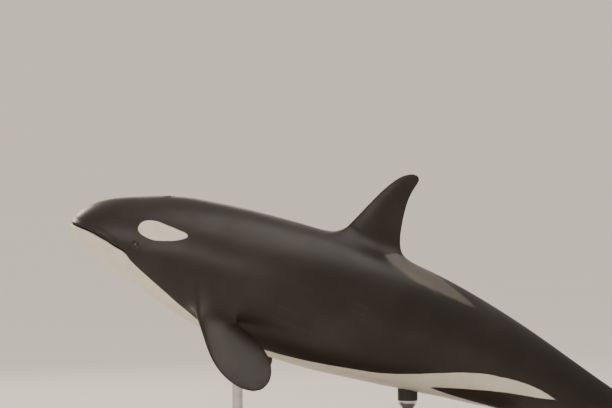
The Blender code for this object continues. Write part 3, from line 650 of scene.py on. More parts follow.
def blowholeForms(points):
    # the groove, its rim and the plug that fills it, with painted shade in the groove
    ring, radius, turn = blowholeDistance(points)
    push = -blowhole["depth"] * bump(ring, blowhole["width"])
    rim = bump(ring - blowhole["rimAt"], blowhole["rimWidth"]) * (turn < blowhole["rimTurn"])
    plug = np.clip(1 - (radius / blowhole["radius"]) ** 2, 0, 1) * (points[:, 2] > blowhole["above"])
    push += blowhole["rimHeight"] * rim + blowhole["plugRise"] * plug
    return push, bump(ring, blowhole["width"] * blowhole["shadeSpread"])


def undersideForms(points):
    # the navel, the slit and the two short furrows beside it, each with a low rim
    push = np.zeros(len(points))
    for station, half, _, aside, depth, width in underside["slits"]:
        along = np.maximum(np.abs(points[:, 0] - station * body["length"]) - half, 0)
        distance = np.hypot(along, np.abs(points[:, 1]) - aside)
        rim = bump(distance - underside["rimAt"] * width, underside["rimWidth"] * width)
        push += depth * (underside["rimShare"] * rim - bump(distance, width))
    return push * (points[:, 2] < 0) * (stationOf(points) > underside["start"])


def sculptEye(points, moved, dark, spot):
    # lays the lids over the eyeball, with folds and creases round them, and sinks the skin behind it;
    # the gap between the lids and the folds and creases get painted shade
    place, out, back, up = (np.array(v) for v in spot)
    near = np.linalg.norm(points - place, axis=1) < eye["reach"]
    reach = points[near] - place
    u, v, w = reach @ back, reach @ up, reach @ out
    edge = lidDistance(u, v)
    r = np.minimum(np.hypot(u, v), eye["radius"] * eye["ballEdge"])
    ball = np.sqrt(eye["radius"] ** 2 - r**2) - eye["inset"]
    over = (ball - w + eye["lidHeight"]) / eye["lidSoft"]
    height = w + eye["lidSoft"] * np.log1p(np.exp(over)) * (1 - fade(edge, *eye["lidFade"]))
    height += eye["swelling"] * bump(edge - eye["swellAt"], eye["swellWidth"])
    lines = np.zeros(len(u))
    for level, curve, half, depth, width in eye["folds"]:
        across = (v - level - curve * u**2) / np.hypot(1, 2 * curve * u)
        lines += depth * bump(across, width) * (1 - fade(np.abs(u), half * eye["foldFade"], half))
    for start, end, depth, width in eye["creases"]:
        along, across = alongLine(u, v, start, end)
        ending = 1 - fade(along, eye["creaseFade"], 1.0)
        lines += depth * bump(across, width * (1 - eye["creaseTaper"] * along)) * ending
    height -= lines * fade(edge, *eye["linesFrom"])
    rounding = np.clip(1 - edge / eye["lidRound"], 0, 1)
    height -= eye["lidHeight"] * eye["lidDrop"] * rounding**2
    sunk = 1 - fade(edge, *eye["pocketEdge"])
    height = height * (1 - sunk) - eye["pocket"] * sunk
    moved[near] += out * (height - w)[:, None]
    # painted shade between the lids and along the folds and creases
    shade = np.maximum(1 - fade(edge, *eye["rimShade"]),
                       np.clip(lines / eye["lineShade"], 0, eye["lineShadeMost"]))
    dark[near] = np.maximum(dark[near], shade)


def sculptSkin(piece, spots):
    # moves the skin along its own normals, keeps the painted shade of its creases and grooves in the
    # dark field, and hands back where it lay before
    points, normals = readPoints(piece.data), readPoints(piece.data, "normal")
    mouthPush, mouthShade = mouthForms(points)
    holePush, holeShade = blowholeForms(points)
    onHead = 1 - fade(stationOf(points), *fineness["headFade"])
    push = (mouthPush + holePush) * onHead + undersideForms(points)
    moved = points + normals * push[:, None]
    # dark is painted shade for the mouth's crease, the blowhole's groove and round the eyes
    dark = np.maximum(mouthShade, holeShade)
    for spot in spots.values():
        sculptEye(points, moved, dark, spot)
    writePoints(piece.data, moved)
    addField(piece.data, "dark", dark)
    return points


# Markings: where each is, in shares of the body, and how the white runs
marks = dict(
    patchFrom=0.0950, patchTo=0.1660, patchThickAt=0.37, patchHalf=0.0134,
    patchFront=2.5, patchRear=1.0, patchStep=0.0005, patchMost=0.2, patchAside=0.12,
    gentlest=1.0, farOutside=-1.0,              # least slope of the patch's shape, and its lowest value
    chinTo=(0.090, 0.108),                      # there the chin's edge becomes the throat's
    lobeSpan=(0.45, 0.755), lobeOutside=-0.3, lobeJoin=0.05,
    saddleSpan=(0.444, 0.600), saddleOutside=-0.2, offFins=0.25, saddleOffFins=0.15,
    flukeMargin=0.055, flukeTip=0.8, flukeFrom=0.90, flukeAside=0.010, flukeUnder=-0.0002,
    tailFrom=0.88, tailOutside=-0.05,
    girth=1.6, lean=0.10,                       # how scratches are laid round the body, in metres
)
markLines = {name: smoothLine(points) for name, points in dict(
    patchMiddle=[(0.09, 0.0155), (0.105, 0.0180), (0.13, 0.0201), (0.15, 0.0230), (0.168, 0.0275)],
    chinDrop=[(0.0, 0.0), (0.064, 0.0), (0.074, 0.0005), (0.084, 0.0019), (0.092, 0.0050),
              (0.102, 0.0110), (0.2, 0.0110)],
    bellyEdge=[(0.084, 0.385), (0.10, 0.345), (0.125, 0.300), (0.16, 0.255), (0.20, 0.205),
               (0.24, 0.150), (0.28, 0.135), (0.34, 0.155), (0.42, 0.185), (0.50, 0.205),
               (0.56, 0.180), (0.62, 0.115), (0.68, 0.060), (0.715, -0.02), (0.8, -0.2)],
    lobeMiddle=[(0.46, 0.130), (0.52, 0.185), (0.58, 0.262), (0.64, 0.345), (0.70, 0.405),
                (0.75, 0.430)],
    lobeHalf=[(0.44, 0.000), (0.50, 0.050), (0.56, 0.062), (0.62, 0.072), (0.68, 0.062),
              (0.725, 0.036), (0.748, 0.0)],
    saddleMiddle=[(0.44, 0.900), (0.47, 0.915), (0.50, 0.895), (0.54, 0.850), (0.605, 0.810)],
    saddleHalf=[(0.444, 0.0), (0.454, 0.055), (0.472, 0.102), (0.50, 0.118), (0.54, 0.078),
                (0.600, 0.0)],
).items()}


def patchShape(s, h):
    # above zero inside the patch behind the eye, which is thickest near its front
    t = (s - marks["patchFrom"]) / (marks["patchTo"] - marks["patchFrom"])
    thick = marks["patchThickAt"]
    u = np.abs(t - thick) / np.where(t < thick, thick, 1 - thick)
    u = u ** np.where(t < thick, marks["patchFront"], marks["patchRear"])
    v = (h - markLines["patchMiddle"](s)) / marks["patchHalf"]
    return 1 - np.sqrt(u + v**2)


def patchInside(points):
    # metres inside the patch, for points of the straight skin
    s, h = stationOf(points), points[:, 2] / body["length"]
    step = marks["patchStep"]
    slope = np.hypot(patchShape(s + step, h) - patchShape(s - step, h),
                     patchShape(s, h + step) - patchShape(s, h - step)) / (2 * step * body["length"])
    most = marks["patchMost"]
    inside = np.clip(patchShape(s, h) / np.maximum(slope, marks["gentlest"]), -most, most)
    return np.where(np.abs(points[:, 1]) > marks["patchAside"], inside, marks["farOutside"])


def bellyInside(points):
    # metres inside the white of the chin and belly, with its lobe on the flank
    s, q = stationOf(points), girthShare(points)
    length, girth = body["length"], halfGirth(s)
    chin = (mouthLine(s) - markLines["chinDrop"](s)) * length - points[:, 2]
    edge = (markLines["bellyEdge"](s) - q) * girth
    swap = fade(s, *marks["chinTo"])
    lower = chin * (1 - swap) + edge * swap
    lobe = (markLines["lobeHalf"](s) - np.abs(q - markLines["lobeMiddle"](s))) * girth
    lobe = np.where(between(s, marks["lobeSpan"]), lobe, marks["lobeOutside"])
    soft = marks["lobeJoin"]
    mix = np.clip(0.5 + (lower - lobe) / (2 * soft), 0, 1)
    return lobe * (1 - mix) + lower * mix + soft * mix * (1 - mix)


def flukeInside(points):
    # metres inside the white under the flukes, which stops short of their edges
    lead, trail, _ = finCurves(fluke)
    s, y = stationOf(points), np.abs(points[:, 1]) / body["length"]
    inside = np.minimum(s - lead(y), trail(y) - s)
    inside = np.minimum(inside, (fluke["levels"][-1] - y) * marks["flukeTip"]) * body["length"]
    under = points[:, 2] / body["length"] + fluke["droop"] * y < marks["flukeUnder"]
    under &= (s > marks["flukeFrom"]) & (y > marks["flukeAside"])
    below = np.where(under, inside - marks["flukeMargin"], marks["tailOutside"])
    return np.where(s > marks["tailFrom"], below, marks["farOutside"])


def paintFields(piece, straight, finShare):
    # each field is roughly metres inside its marking, and its edge is at zero
    s, q = stationOf(straight), girthShare(straight)
    lower = bellyInside(straight) - finShare * marks["offFins"]
    white = np.maximum(np.maximum(patchInside(straight), lower), flukeInside(straight))
    saddle = (markLines["saddleHalf"](s) - np.abs(q - markLines["saddleMiddle"](s))) * halfGirth(s)
    saddle = np.where(between(s, marks["saddleSpan"]), saddle, marks["saddleOutside"])
    addField(piece.data, "white", white)
    addField(piece.data, "saddle", saddle - finShare * marks["saddleOffFins"])
    around = q * marks["girth"] + marks["lean"] * straight[:, 0]
    side = np.where(np.abs(straight[:, 1]) < mergeGap, 0.0, np.sign(straight[:, 1]))
    addField(piece.data, "lie", np.column_stack([straight[:, 0], around, side]))
    addField(piece.data, "hide", straight)


# Spine: the head and back are lifted to breathe, the tail stock slopes down and the flukes level
spine = dict(snout=(-2.27, 2.165), steps=400)


def spinePath():
    end = body["spineSlope"][-1][0]
    stations = np.linspace(0.0, end, spine["steps"] + 1)
    slopes = np.radians(spineSlope(stations))
    middle = (slopes[1:] + slopes[:-1]) / 2
    run = body["length"] * end / spine["steps"]
    x = spine["snout"][0] + np.concatenate([[0.0], np.cumsum(np.cos(middle) * run)])
    z = spine["snout"][1] - np.concatenate([[0.0], np.cumsum(np.sin(middle) * run)])
    return stations, x, z, slopes


path = spinePath()


def bend(points):
    stations, pathX, pathZ, slopes = path
    s = stationOf(points)
    held = np.clip(s, stations[0], stations[-1])
    past = (s - held) * body["length"]
    slope = np.interp(held, stations, slopes)
    x = np.interp(held, stations, pathX) + past * np.cos(slope) + points[:, 2] * np.sin(slope)
    z = np.interp(held, stations, pathZ) - past * np.sin(slope) + points[:, 2] * np.cos(slope)
    return np.column_stack([x, points[:, 1], z])


def nearFlankEdge(points):
    onFlank = between(stationOf(points), fineness["flank"])
    return onFlank & (np.abs(bellyInside(points)) < fineness["flankEdge"])


def makeSkin():
    skin = growSkin()
    say(f"cage grown, {len(skin.data.polygons)} faces")
    laidTo, ahead, past = fineness["surfaceTo"], *fineness["flankMargins"]
    surface = limitSurface(skin, 0.0, laidTo + fineness["surfaceMargin"], fineness["surfaceLevels"])
    flank = limitSurface(skin, laidTo - ahead, fineness["flank"][1] + past, fineness["flankLevels"])
    spots = eyeSpots(BVHTree.FromObject(surface, bpy.context.evaluated_depsgraph_get()))
    applyModifier(skin, "SUBSURF", levels=2, render_levels=2)
    refine(skin, lambda p: stationOf(p) < fineness["headTo"])
    refine(skin, nearFlankEdge)
    for reach in fineness["steps"]:
        refine(skin, lambda p: (
            nearMouth(p, reach["mouth"]) | nearEye(p, spots, reach["eye"])
            | (blowholeDistance(p)[0] < reach["blowhole"]) | nearSlits(p, reach["belly"])
            | (np.abs(patchInside(p)) < reach["patch"])
        ))
    layOn(skin, flank, lambda p: nearFlankEdge(p) & (stationOf(p) > laidTo))
    layOn(skin, surface, lambda p: stationOf(p) < laidTo)
    straight = sculptSkin(skin, spots)
    paintFields(skin, straight, readField(skin.data, "finShare"))
    writePoints(skin.data, bend(readPoints(skin.data)))
    cleanMesh(skin, merge=False)
    bpy.ops.object.shade_smooth()
    skin.name = skin.data.name = "orcaSkin"
    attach(skin, "root")
    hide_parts("head", "lower_jaw", "torso", "abdomen", "tail_stock", "dorsal_fin",
                "pectoral_fin_left", "pectoral_fin_right", "fluke_left", "fluke_right")
    triangles = sum(len(face.vertices) - 2 for face in skin.data.polygons)
    say(f"skin laid, {len(skin.data.polygons)} faces, {triangles} triangles")
    return skin, spots


skin, spots = makeSkin()

# Eyeballs
ballForm = dict(
    segments=64, rings=48, frontFrom=0.80,      # from that share of its radius the front is finer
    irisRadius=0.0150, pupil=(0.0072, 0.0046),
    corneaRise=0.0018, corneaReach=1.12, limbusAt=1.16, limbusWidth=0.0012, limbusDepth=0.0004,
)


def makeEye(side, spot):
    place, out, back, up = spot
    radius, iris = eye["radius"], ballForm["irisRadius"]
    bpy.ops.object.select_all(action="DESELECT")
    bpy.ops.mesh.primitive_uv_sphere_add(segments=ballForm["segments"], ring_count=ballForm["rings"],
                                         radius=radius)
    ball = bpy.context.object
    ball.name = ball.data.name = "eyeball" + ("Left" if side < 0 else "Right")
    pick(ball, "FACE", lambda face: face.calc_center_median().z > radius * ballForm["frontFrom"])
    bpy.ops.mesh.subdivide(number_cuts=1, quadcorner="INNERVERT", ngon=False)
    bpy.ops.object.mode_set(mode="OBJECT")
    points = readPoints(ball.data)
    points *= (radius / np.linalg.norm(points, axis=1))[:, None]
    aside = np.where(points[:, 2] > 0, np.hypot(points[:, 0], points[:, 1]), 1.0)
    dome = np.clip(1 - (aside / (iris * ballForm["corneaReach"])) ** 2, 0, 1)
    limbus = bump(aside - iris * ballForm["limbusAt"], ballForm["limbusWidth"])
    rise = ballForm["corneaRise"] * dome - ballForm["limbusDepth"] * limbus
    points *= (1 + rise / radius)[:, None]
    pupilLong, pupilTall = ballForm["pupil"]
    addField(ball.data, "iris", iris - aside)
    addField(ball.data, "pupil", 1 - np.hypot(points[:, 0] / pupilLong, points[:, 1] / pupilTall))
    addField(ball.data, "eyePlane", points)
    centre = np.array(place - out * eye["inset"])
    axes = np.array([np.array(back), np.array(up), np.array(out)])
    writePoints(ball.data, bend(points @ axes + centre))
    cleanMesh(ball, merge=False)
    bpy.ops.object.shade_smooth()
    node = "eye_left" if side < 0 else "eye_right"
    low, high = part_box(node)
    offset = Vector(bend(centre[None])[0]) - (low + high) / 2
    say(f"{ball.name} sits {offset.length * 1000:.1f} mm from its node")
    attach(ball, "root")
    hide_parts(node)
    return ball


eyeballs = [makeEye(side, spots[side]) for side in (-1, 1)]

# Stand: a flat plinth and two turned posts, each with a bolted foot and a padded saddle
plinth = dict(corner=0.30, cornerSteps=28, edge=0.008, edgeSteps=4, footHeight=0.012, footInset=0.018)
post = dict(
    stations=dict(front=0.285, rear=0.545), under=dict(front="torso", rear="abdomen"),
    radius=0.045, sides=96, flange=0.110, flangeHeight=0.025, fillet=0.014, filletSteps=6, chamfer=0.004,
    saddle=0.080, saddleDepth=0.16, flare=0.07, flareSteps=12, sink=0.10,
    padHeight=0.022, padRadius=0.0835, padEdge=0.003, skirtUp=0.012, gap=0.0003,
    collarHeight=0.020, collarRadius=0.052, collarUp=0.055, collarEdge=0.002,
)
bolt = dict(
    count=6, circle=0.083, across=0.0105, head=0.010, twist=1.7,
    crownInset=0.12, crownRise=0.10, dishInset=0.30, dishDrop=0.08,   # shares of the head
    washer=0.0135, washerHeight=0.0025, washerSides=28, washerEdge=0.0006,
)


def spunPiece(name, profile, centre):
    # a line of vertices down the outer side is spun into a closed turned shape
    bpy.ops.object.select_all(action="DESELECT")
    bpy.ops.mesh.primitive_plane_add(size=seedSize)
    piece = bpy.context.object
    piece.name = piece.data.name = name
    bpy.ops.object.mode_set(mode="EDIT")
    bpy.ops.mesh.select_mode(type="VERT")
    bpy.ops.mesh.select_all(action="SELECT")
    bpy.ops.mesh.merge(type="CENTER")
    edit = bmesh.from_edit_mesh(piece.data)
    for vert in edit.verts:
        vert.co = (centre.x + profile[0][0], centre.y, profile[0][1])
    bmesh.update_edit_mesh(piece.data)
    for (r0, z0), (r1, z1) in zip(profile, profile[1:]):
        bpy.ops.mesh.extrude_region_move(TRANSFORM_OT_translate={"value": (r1 - r0, 0, z1 - z0)})
    bpy.ops.mesh.select_all(action="SELECT")
    bpy.ops.mesh.spin(steps=post["sides"], angle=2 * math.pi, center=centre, axis=(0, 0, 1))
    bpy.ops.object.mode_set(mode="OBJECT")
    cleanMesh(piece)
    return piece


def cutWith(piece, cutter, clear):
    # takes the cutter, swollen by the clearance, out of the piece
    swollen = readPoints(cutter.data) + readPoints(cutter.data, "normal") * clear
    writePoints(cutter.data, swollen)
    applyModifier(piece, "BOOLEAN", operation="DIFFERENCE", object=cutter, solver="EXACT")
    bpy.data.objects.remove(cutter)


def weldedNode(node):
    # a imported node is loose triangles, so its copy is merged before it cuts anything
    cutter = copyPiece(bpy.data.objects[node], "bellyCutter")
    cutter.hide_render = cutter.hide_viewport = False
    cutter.hide_set(False)
    cleanMesh(cutter, outwards=False)
    return cutter


def postProfile(foot, low, belly):
    # down the outer side: saddle, flare, collar, fillet and the rim of the foot
    rod, saddle, flange, chamfer = (post[name] for name in ("radius", "saddle", "flange", "chamfer"))
    flareFrom, top = belly - post["saddleDepth"], belly + post["sink"]
    flare = [(rod + (saddle - rod) * float(fade(t, 0, 1)), flareFrom + post["flare"] * t)
             for t in np.linspace(1, 0, post["flareSteps"])]
    lip, edge = post["collarRadius"], post["collarEdge"]
    collarLow = foot + post["collarUp"]
    collarHigh = collarLow + post["collarHeight"]
    collar = [(rod, collarHigh), (lip - edge, collarHigh), (lip, collarHigh - edge),
              (lip, collarLow + edge), (lip - edge, collarLow), (rod, collarLow)]
    fillet = [
        (rod + post["fillet"] * (1 - math.cos(a)), foot + post["fillet"] * (1 - math.sin(a)))
        for a in np.linspace(0, math.pi / 2, post["filletSteps"])
    ]
    rim = [(flange - chamfer, foot), (flange, foot - chamfer), (flange, low), (0.0, low)]
    return [(0.0, top), (saddle, top), *flare, *collar, *fillet, *rim]


def makePost(place):
    node = "stand_rod_" + place
    low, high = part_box(node)
    station, under = post["stations"][place], post["under"][place]
    keel = np.array([[station, 0.0, float(bellyLine(station))]])
    belly = bend(keel * body["length"])[0][2]
    centre = Vector(((low.x + high.x) / 2, 0.0, 0.0))
    profile = postProfile(low.z + post["flangeHeight"], low.z, belly)
    piece = spunPiece("post" + place.capitalize(), profile, centre)
    cutWith(piece, weldedNode(under), post["padHeight"])
    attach(piece, "root")
    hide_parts(node)

    top = belly + post["sink"]
    skirt = belly - post["saddleDepth"] + post["flare"] + post["skirtUp"]
    wide, edge = post["padRadius"], post["padEdge"]
    outline = [(0.0, top), (wide, top), (wide, skirt + edge), (wide - edge, skirt), (0.0, skirt)]
    pad = spunPiece("pad" + place.capitalize(), outline, centre)
    cutWith(pad, copyPiece(piece, "postCutter"), post["gap"])
    cutWith(pad, weldedNode(under), post["gap"])
    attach(pad, "root")
    for made in (piece, pad):
        selectOnly(made)
        bpy.ops.object.shade_smooth_by_angle(angle=sharpAngle)
    return piece, pad


def makeBolt():
    # a hexagon head on a washer, standing at the origin
    across, tall, washerTop = bolt["across"], bolt["head"], bolt["washerHeight"]
    bpy.ops.object.select_all(action="DESELECT")
    bpy.ops.mesh.primitive_cylinder_add(
        vertices=6, radius=across, depth=tall, location=(0, 0, washerTop + tall / 2),
    )
    head = bpy.context.object
    pick(head, "FACE", lambda face: face.normal.z > facingUp)
    bpy.ops.mesh.inset(thickness=across * bolt["crownInset"])
    bpy.ops.transform.translate(value=(0, 0, tall * bolt["crownRise"]))
    bpy.ops.mesh.inset(thickness=across * bolt["dishInset"])
    bpy.ops.transform.translate(value=(0, 0, -tall * bolt["dishDrop"]))
    bpy.ops.object.mode_set(mode="OBJECT")
    bpy.ops.mesh.primitive_cylinder_add(
        vertices=bolt["washerSides"], radius=bolt["washer"], depth=washerTop,
        location=(0, 0, washerTop / 2),
    )
    washer = bpy.context.object
    applyModifier(washer, "BEVEL", width=bolt["washerEdge"], segments=2, limit_method="ANGLE")
    joined = joinPieces([head, washer])
    bpy.ops.object.transform_apply(location=True, rotation=True, scale=True)
    return joined


def makeBolts(place, model):
    low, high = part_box("stand_rod_" + place)
    copies = []
    for i in range(bolt["count"]):
        turn = 2 * math.pi * (i + 0.5) / bolt["count"]
        made = copyPiece(model, f"bolt{i}")
        spot = Vector((
            (low.x + high.x) / 2 + bolt["circle"] * math.cos(turn),
            bolt["circle"] * math.sin(turn), low.z + post["flangeHeight"],
        ))
        turned = Matrix.Rotation(turn * bolt["twist"], 4, "Z")
        made.data.transform(Matrix.Translation(spot) @ turned)
        copies.append(made)
    joined = joinPieces(copies)
    joined.name = joined.data.name = "bolts" + place.capitalize()
    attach(joined, "root")
    return joined


def makePlinth():
    # the slab's corners and top edge are bevelled, and its underside steps in to a low foot
    low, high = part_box("stand_base")
    bpy.ops.object.select_all(action="DESELECT")
    bpy.ops.mesh.primitive_cube_add(size=1.0)
    slab = bpy.context.object
    slab.name = slab.data.name = "plinth"
    floorUp = low.z + plinth["footHeight"]
    size = Vector((high.x - low.x, high.y - low.y, high.z - floorUp))
    middle = Vector(((low.x + high.x) / 2, (low.y + high.y) / 2, (high.z + floorUp) / 2))
    slab.data.transform(Matrix.Translation(middle) @ Matrix.Diagonal((*size, 1.0)))

    def upright(edge):
        return abs(edge.verts[0].co.z - edge.verts[1].co.z) > size.z / 2

    def flatAt(height):
        return lambda face: all(abs(vert.co.z - height) < mergeGap for vert in face.verts)

    pick(slab, "EDGE", upright)
    bpy.ops.mesh.bevel(offset=plinth["corner"], segments=plinth["cornerSteps"], affect="EDGES")
    pick(slab, "FACE", flatAt(high.z))
    bpy.ops.mesh.bevel(offset=plinth["edge"], segments=plinth["edgeSteps"], affect="EDGES")
    pick(slab, "FACE", flatAt(floorUp))
    bpy.ops.mesh.inset(thickness=plinth["footInset"])
    bpy.ops.mesh.extrude_region_move(TRANSFORM_OT_translate={"value": (0, 0, -plinth["footHeight"])})
    bpy.ops.object.mode_set(mode="OBJECT")
    bpy.ops.object.shade_smooth_by_angle(angle=sharpAngle)
    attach(slab, "root")
    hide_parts("stand_base")
    return slab


posts = {place: makePost(place) for place in ("front", "rear")}
boltModel = makeBolt()
bolts = [makeBolts(place, boltModel) for place in ("front", "rear")]
bpy.data.objects.remove(boltModel)
slab = makePlinth()
say("stand made")


# Finishes
class Recipe:
    # a short way to lay out a material's nodes
    def __init__(self, name):
        self.material = bpy.data.materials.new(name)
        self.material.use_nodes = True
        self.nodes = self.material.node_tree.nodes
        self.links = self.material.node_tree.links
        self.shader = self.nodes["Principled BSDF"]

    def set(self, **values):
        for name, value in values.items():
            self.shader.inputs[name.replace("_", " ")].default_value = value

    def feed(self, socket, value):
        if isinstance(value, bpy.types.NodeSocket):
            self.links.new(value, socket)
        else:
            socket.default_value = value

    def attribute(self, name, output="Fac"):
        node = self.nodes.new("ShaderNodeAttribute")
        node.attribute_name = name
        return node.outputs[output]

    def place(self, vector, scale):
        node = self.nodes.new("ShaderNodeMapping")
        self.feed(node.inputs["Vector"], vector)
        node.inputs["Scale"].default_value = scale
        return node.outputs["Vector"]

    def objectPoint(self):
        return self.nodes.new("ShaderNodeTexCoord").outputs["Object"]

    def noise(self, vector, scale, detail=4.0, roughness=0.55):
        # the scale counts waves to the metre, and the detail the finer layers over them
        node = self.nodes.new("ShaderNodeTexNoise")
        self.feed(node.inputs["Vector"], vector)
        for name, value in (("Scale", scale), ("Detail", detail), ("Roughness", roughness)):
            node.inputs[name].default_value = value
        return node.outputs["Fac"]

    def math(self, kind, first, second):
        node = self.nodes.new("ShaderNodeMath")
        node.operation = kind
        self.feed(node.inputs[0], first)
        self.feed(node.inputs[1], second)
        return node.outputs[0]

    def sway(self, noise, reach):
        # a noise as so many metres each way from zero
        return self.math("MULTIPLY", self.math("SUBTRACT", noise, 0.5), reach)

    def step(self, value, start, end, low=0.0, high=1.0):
        # goes smoothly from low to high as the value goes from start to end
        node = self.nodes.new("ShaderNodeMapRange")
        node.interpolation_type = "SMOOTHSTEP"
        self.feed(node.inputs["Value"], value)
        for name, number in (("From Min", start), ("From Max", end), ("To Min", low), ("To Max", high)):
            node.inputs[name].default_value = number
        return node.outputs["Result"]

    def mix(self, share, first, second):
        node = self.nodes.new("ShaderNodeMix")
        node.data_type = "RGBA"
        self.feed(node.inputs["Factor"], share)
        colours = [s for s in node.inputs if s.type == "RGBA"]
        for socket, value in zip(colours, (first, second)):
            self.feed(socket, (*value, 1.0) if isinstance(value, tuple) else value)
        return [s for s in node.outputs if s.type == "RGBA"][0]

    def bumpUp(self, layers):
        # layers of (height, strength, distance), each laid over the one before
        normal = None
        for height, strength, distance in layers:
            node = self.nodes.new("ShaderNodeBump")
            self.feed(node.inputs["Height"], height)
            node.inputs["Strength"].default_value = strength
            node.inputs["Distance"].default_value = distance
            if normal:
                self.links.new(normal, node.inputs["Normal"])
            normal = node.outputs["Normal"]
        self.links.new(normal, self.shader.inputs["Normal"])

    def finish(self, colour, roughness=None):
        self.links.new(colour, self.shader.inputs["Base Color"])
        if roughness is not None:
            self.links.new(roughness, self.shader.inputs["Roughness"])
        return self.material


hide = dict(
    black=(0.0170, 0.0120, 0.0086), blackWorn=(0.0290, 0.0210, 0.0150), saddleGrey=(0.165, 0.142, 0.116),
    # shadedFold is the near black painted shade laid in creases, grooves and between the lids
    white=(0.790, 0.715, 0.600), whiteShade=(0.700, 0.620, 0.500), shadedFold=(0.010, 0.007, 0.006),
    scratch=(0.078, 0.066, 0.054), scratchShare=0.40, scratchOnWhite=0.6,
    edge=0.0040, ragged=0.014, raggedFine=0.0022,     # metres, how sharp and how even the white's edge is
    saddleEdge=(-0.012, 0.050), saddleShare=0.58, saddleBrushed=0.11,
    brushLay=(5.0, 17.0, 7.0), scratchLay=(1.3, 120.0, 7.0),
    roughness=(0.37, 0.47), coat=0.12, coatRoughness=0.30, gloss=0.28,
)


def hideFinish():
    r = Recipe("orcaHide")
    where, lie = r.attribute("hide", "Vector"), r.attribute("lie", "Vector")
    ragged = r.math("ADD", r.sway(r.noise(where, 7.0, 2), hide["ragged"]),
                    r.sway(r.noise(where, 60.0, 2), hide["raggedFine"]))
    white = r.step(r.math("ADD", r.attribute("white"), ragged), -hide["edge"], hide["edge"])
    brushed = r.sway(r.noise(r.place(lie, hide["brushLay"]), 1.0), hide["saddleBrushed"])
    saddle = r.step(r.math("ADD", r.attribute("saddle"), brushed), *hide["saddleEdge"],
                    high=hide["saddleShare"])
    streaks = r.step(r.noise(r.place(lie, hide["scratchLay"]), 1.0, 1, 0.4), 0.700, 0.760)
    groups = r.step(r.noise(where, 2.1, 2), 0.50, 0.66)
    scratched = r.math("MULTIPLY", streaks, r.math("MULTIPLY", groups, hide["scratchShare"]))
    dark = r.mix(r.step(r.noise(where, 1.7, 5), 0.36, 0.72), hide["black"], hide["blackWorn"])
    dark = r.mix(saddle, dark, hide["saddleGrey"])
    dark = r.mix(scratched, dark, hide["scratch"])
    pale = r.mix(r.step(r.noise(where, 6.0, 6, 0.6), 0.35, 0.80), hide["white"], hide["whiteShade"])
    pale = r.mix(r.math("MULTIPLY", scratched, hide["scratchOnWhite"]), pale, hide["whiteShade"])
    # the dark field lays painted shade, near black, into creases, grooves and between the lids
    colour = r.mix(r.step(r.attribute("dark"), 0.15, 0.85), r.mix(white, dark, pale), hide["shadedFold"])
    r.set(Coat_Weight=hide["coat"], Coat_Roughness=hide["coatRoughness"], Specular_IOR_Level=hide["gloss"])
    r.bumpUp([(r.noise(where, 2.4, 2), 0.16, 0.030), (r.noise(where, 240.0, 3, 0.5), 0.05, 0.0006),
              (scratched, 0.10, 0.0010)])
    return r.finish(colour, r.step(r.noise(where, 5.0), 0.30, 0.75, *hide["roughness"]))


tints = dict(                                   # the two colours that each finish runs between
    iris=((0.010, 0.005, 0.004), (0.048, 0.023, 0.013)),
    eyeball=((0.040, 0.024, 0.020), (0.105, 0.070, 0.060)),
    steel=((0.50, 0.50, 0.49), (0.62, 0.61, 0.59)),
    paint=((0.092, 0.086, 0.080), (0.118, 0.110, 0.101)),
    rubber=((0.014, 0.014, 0.014), (0.030, 0.029, 0.028)),
    floor=((0.760, 0.728, 0.680), (0.790, 0.758, 0.710)),
)
pupilColour = (0.0015, 0.0016, 0.0022)


def eyeFinish():
    r = Recipe("wetEye")
    where = r.attribute("eyePlane", "Vector")
    fibre = r.noise(r.place(where, (420.0, 420.0, 60.0)), 1.0, roughness=0.6)
    iris = r.mix(r.step(fibre, 0.30, 0.72), *tints["iris"])
    ball = r.mix(r.noise(where, 160.0, 5), *tints["eyeball"])
    colour = r.mix(r.step(r.attribute("iris"), -0.0012, 0.0006), ball, iris)
    colour = r.mix(r.step(r.attribute("pupil"), -0.12, 0.06), colour, pupilColour)
    r.set(Roughness=0.07, Coat_Weight=1.0, Coat_Roughness=0.02)
    return r.finish(colour)


def steelFinish():
    r = Recipe("brushedSteel")
    where = r.objectPoint()
    brushed = r.noise(r.place(where, (26.0, 26.0, 900.0)), 1.0, 3, 0.6)
    r.set(Metallic=1.0, Anisotropic=0.35)
    r.bumpUp([(brushed, 0.12, 0.0006)])
    smeared = r.mix(r.step(r.noise(where, 9.0), 0.30, 0.75), *tints["steel"])
    return r.finish(smeared, r.step(brushed, 0.20, 0.85, 0.22, 0.44))


def paintFinish():
    r = Recipe("plinthPaint")
    where = r.objectPoint()
    stipple = r.noise(where, 260.0, 3, 0.5)
    r.bumpUp([(stipple, 0.20, 0.0012), (r.noise(where, 5.0, 3), 0.06, 0.004)])
    clouded = r.mix(r.step(r.noise(where, 2.4, 5), 0.30, 0.75), *tints["paint"])
    return r.finish(clouded, r.step(stipple, 0.2, 0.8, 0.40, 0.56))


def rubberFinish():
    r = Recipe("saddleRubber")
    grain = r.noise(r.objectPoint(), 420.0, roughness=0.6)
    r.bumpUp([(grain, 0.25, 0.0008)])
    return r.finish(r.mix(grain, *tints["rubber"]), r.step(grain, 0.2, 0.8, 0.62, 0.80))


def floorFinish():
    r = Recipe("paleFloor")
    r.set(Roughness=0.92, Specular_IOR_Level=0.05)
    return r.finish(r.mix(r.noise(r.objectPoint(), 0.35), *tints["floor"]))


def dress(material, *pieces):
    for piece in pieces:
        piece.data.materials.clear()
        piece.data.materials.append(material)


dress(hideFinish(), skin)
dress(eyeFinish(), *eyeballs)
dress(steelFinish(), *(piece for piece, pad in posts.values()), *bolts)
dress(rubberFinish(), *(pad for piece, pad in posts.values()))
dress(paintFinish(), slab)
say("finishes laid")

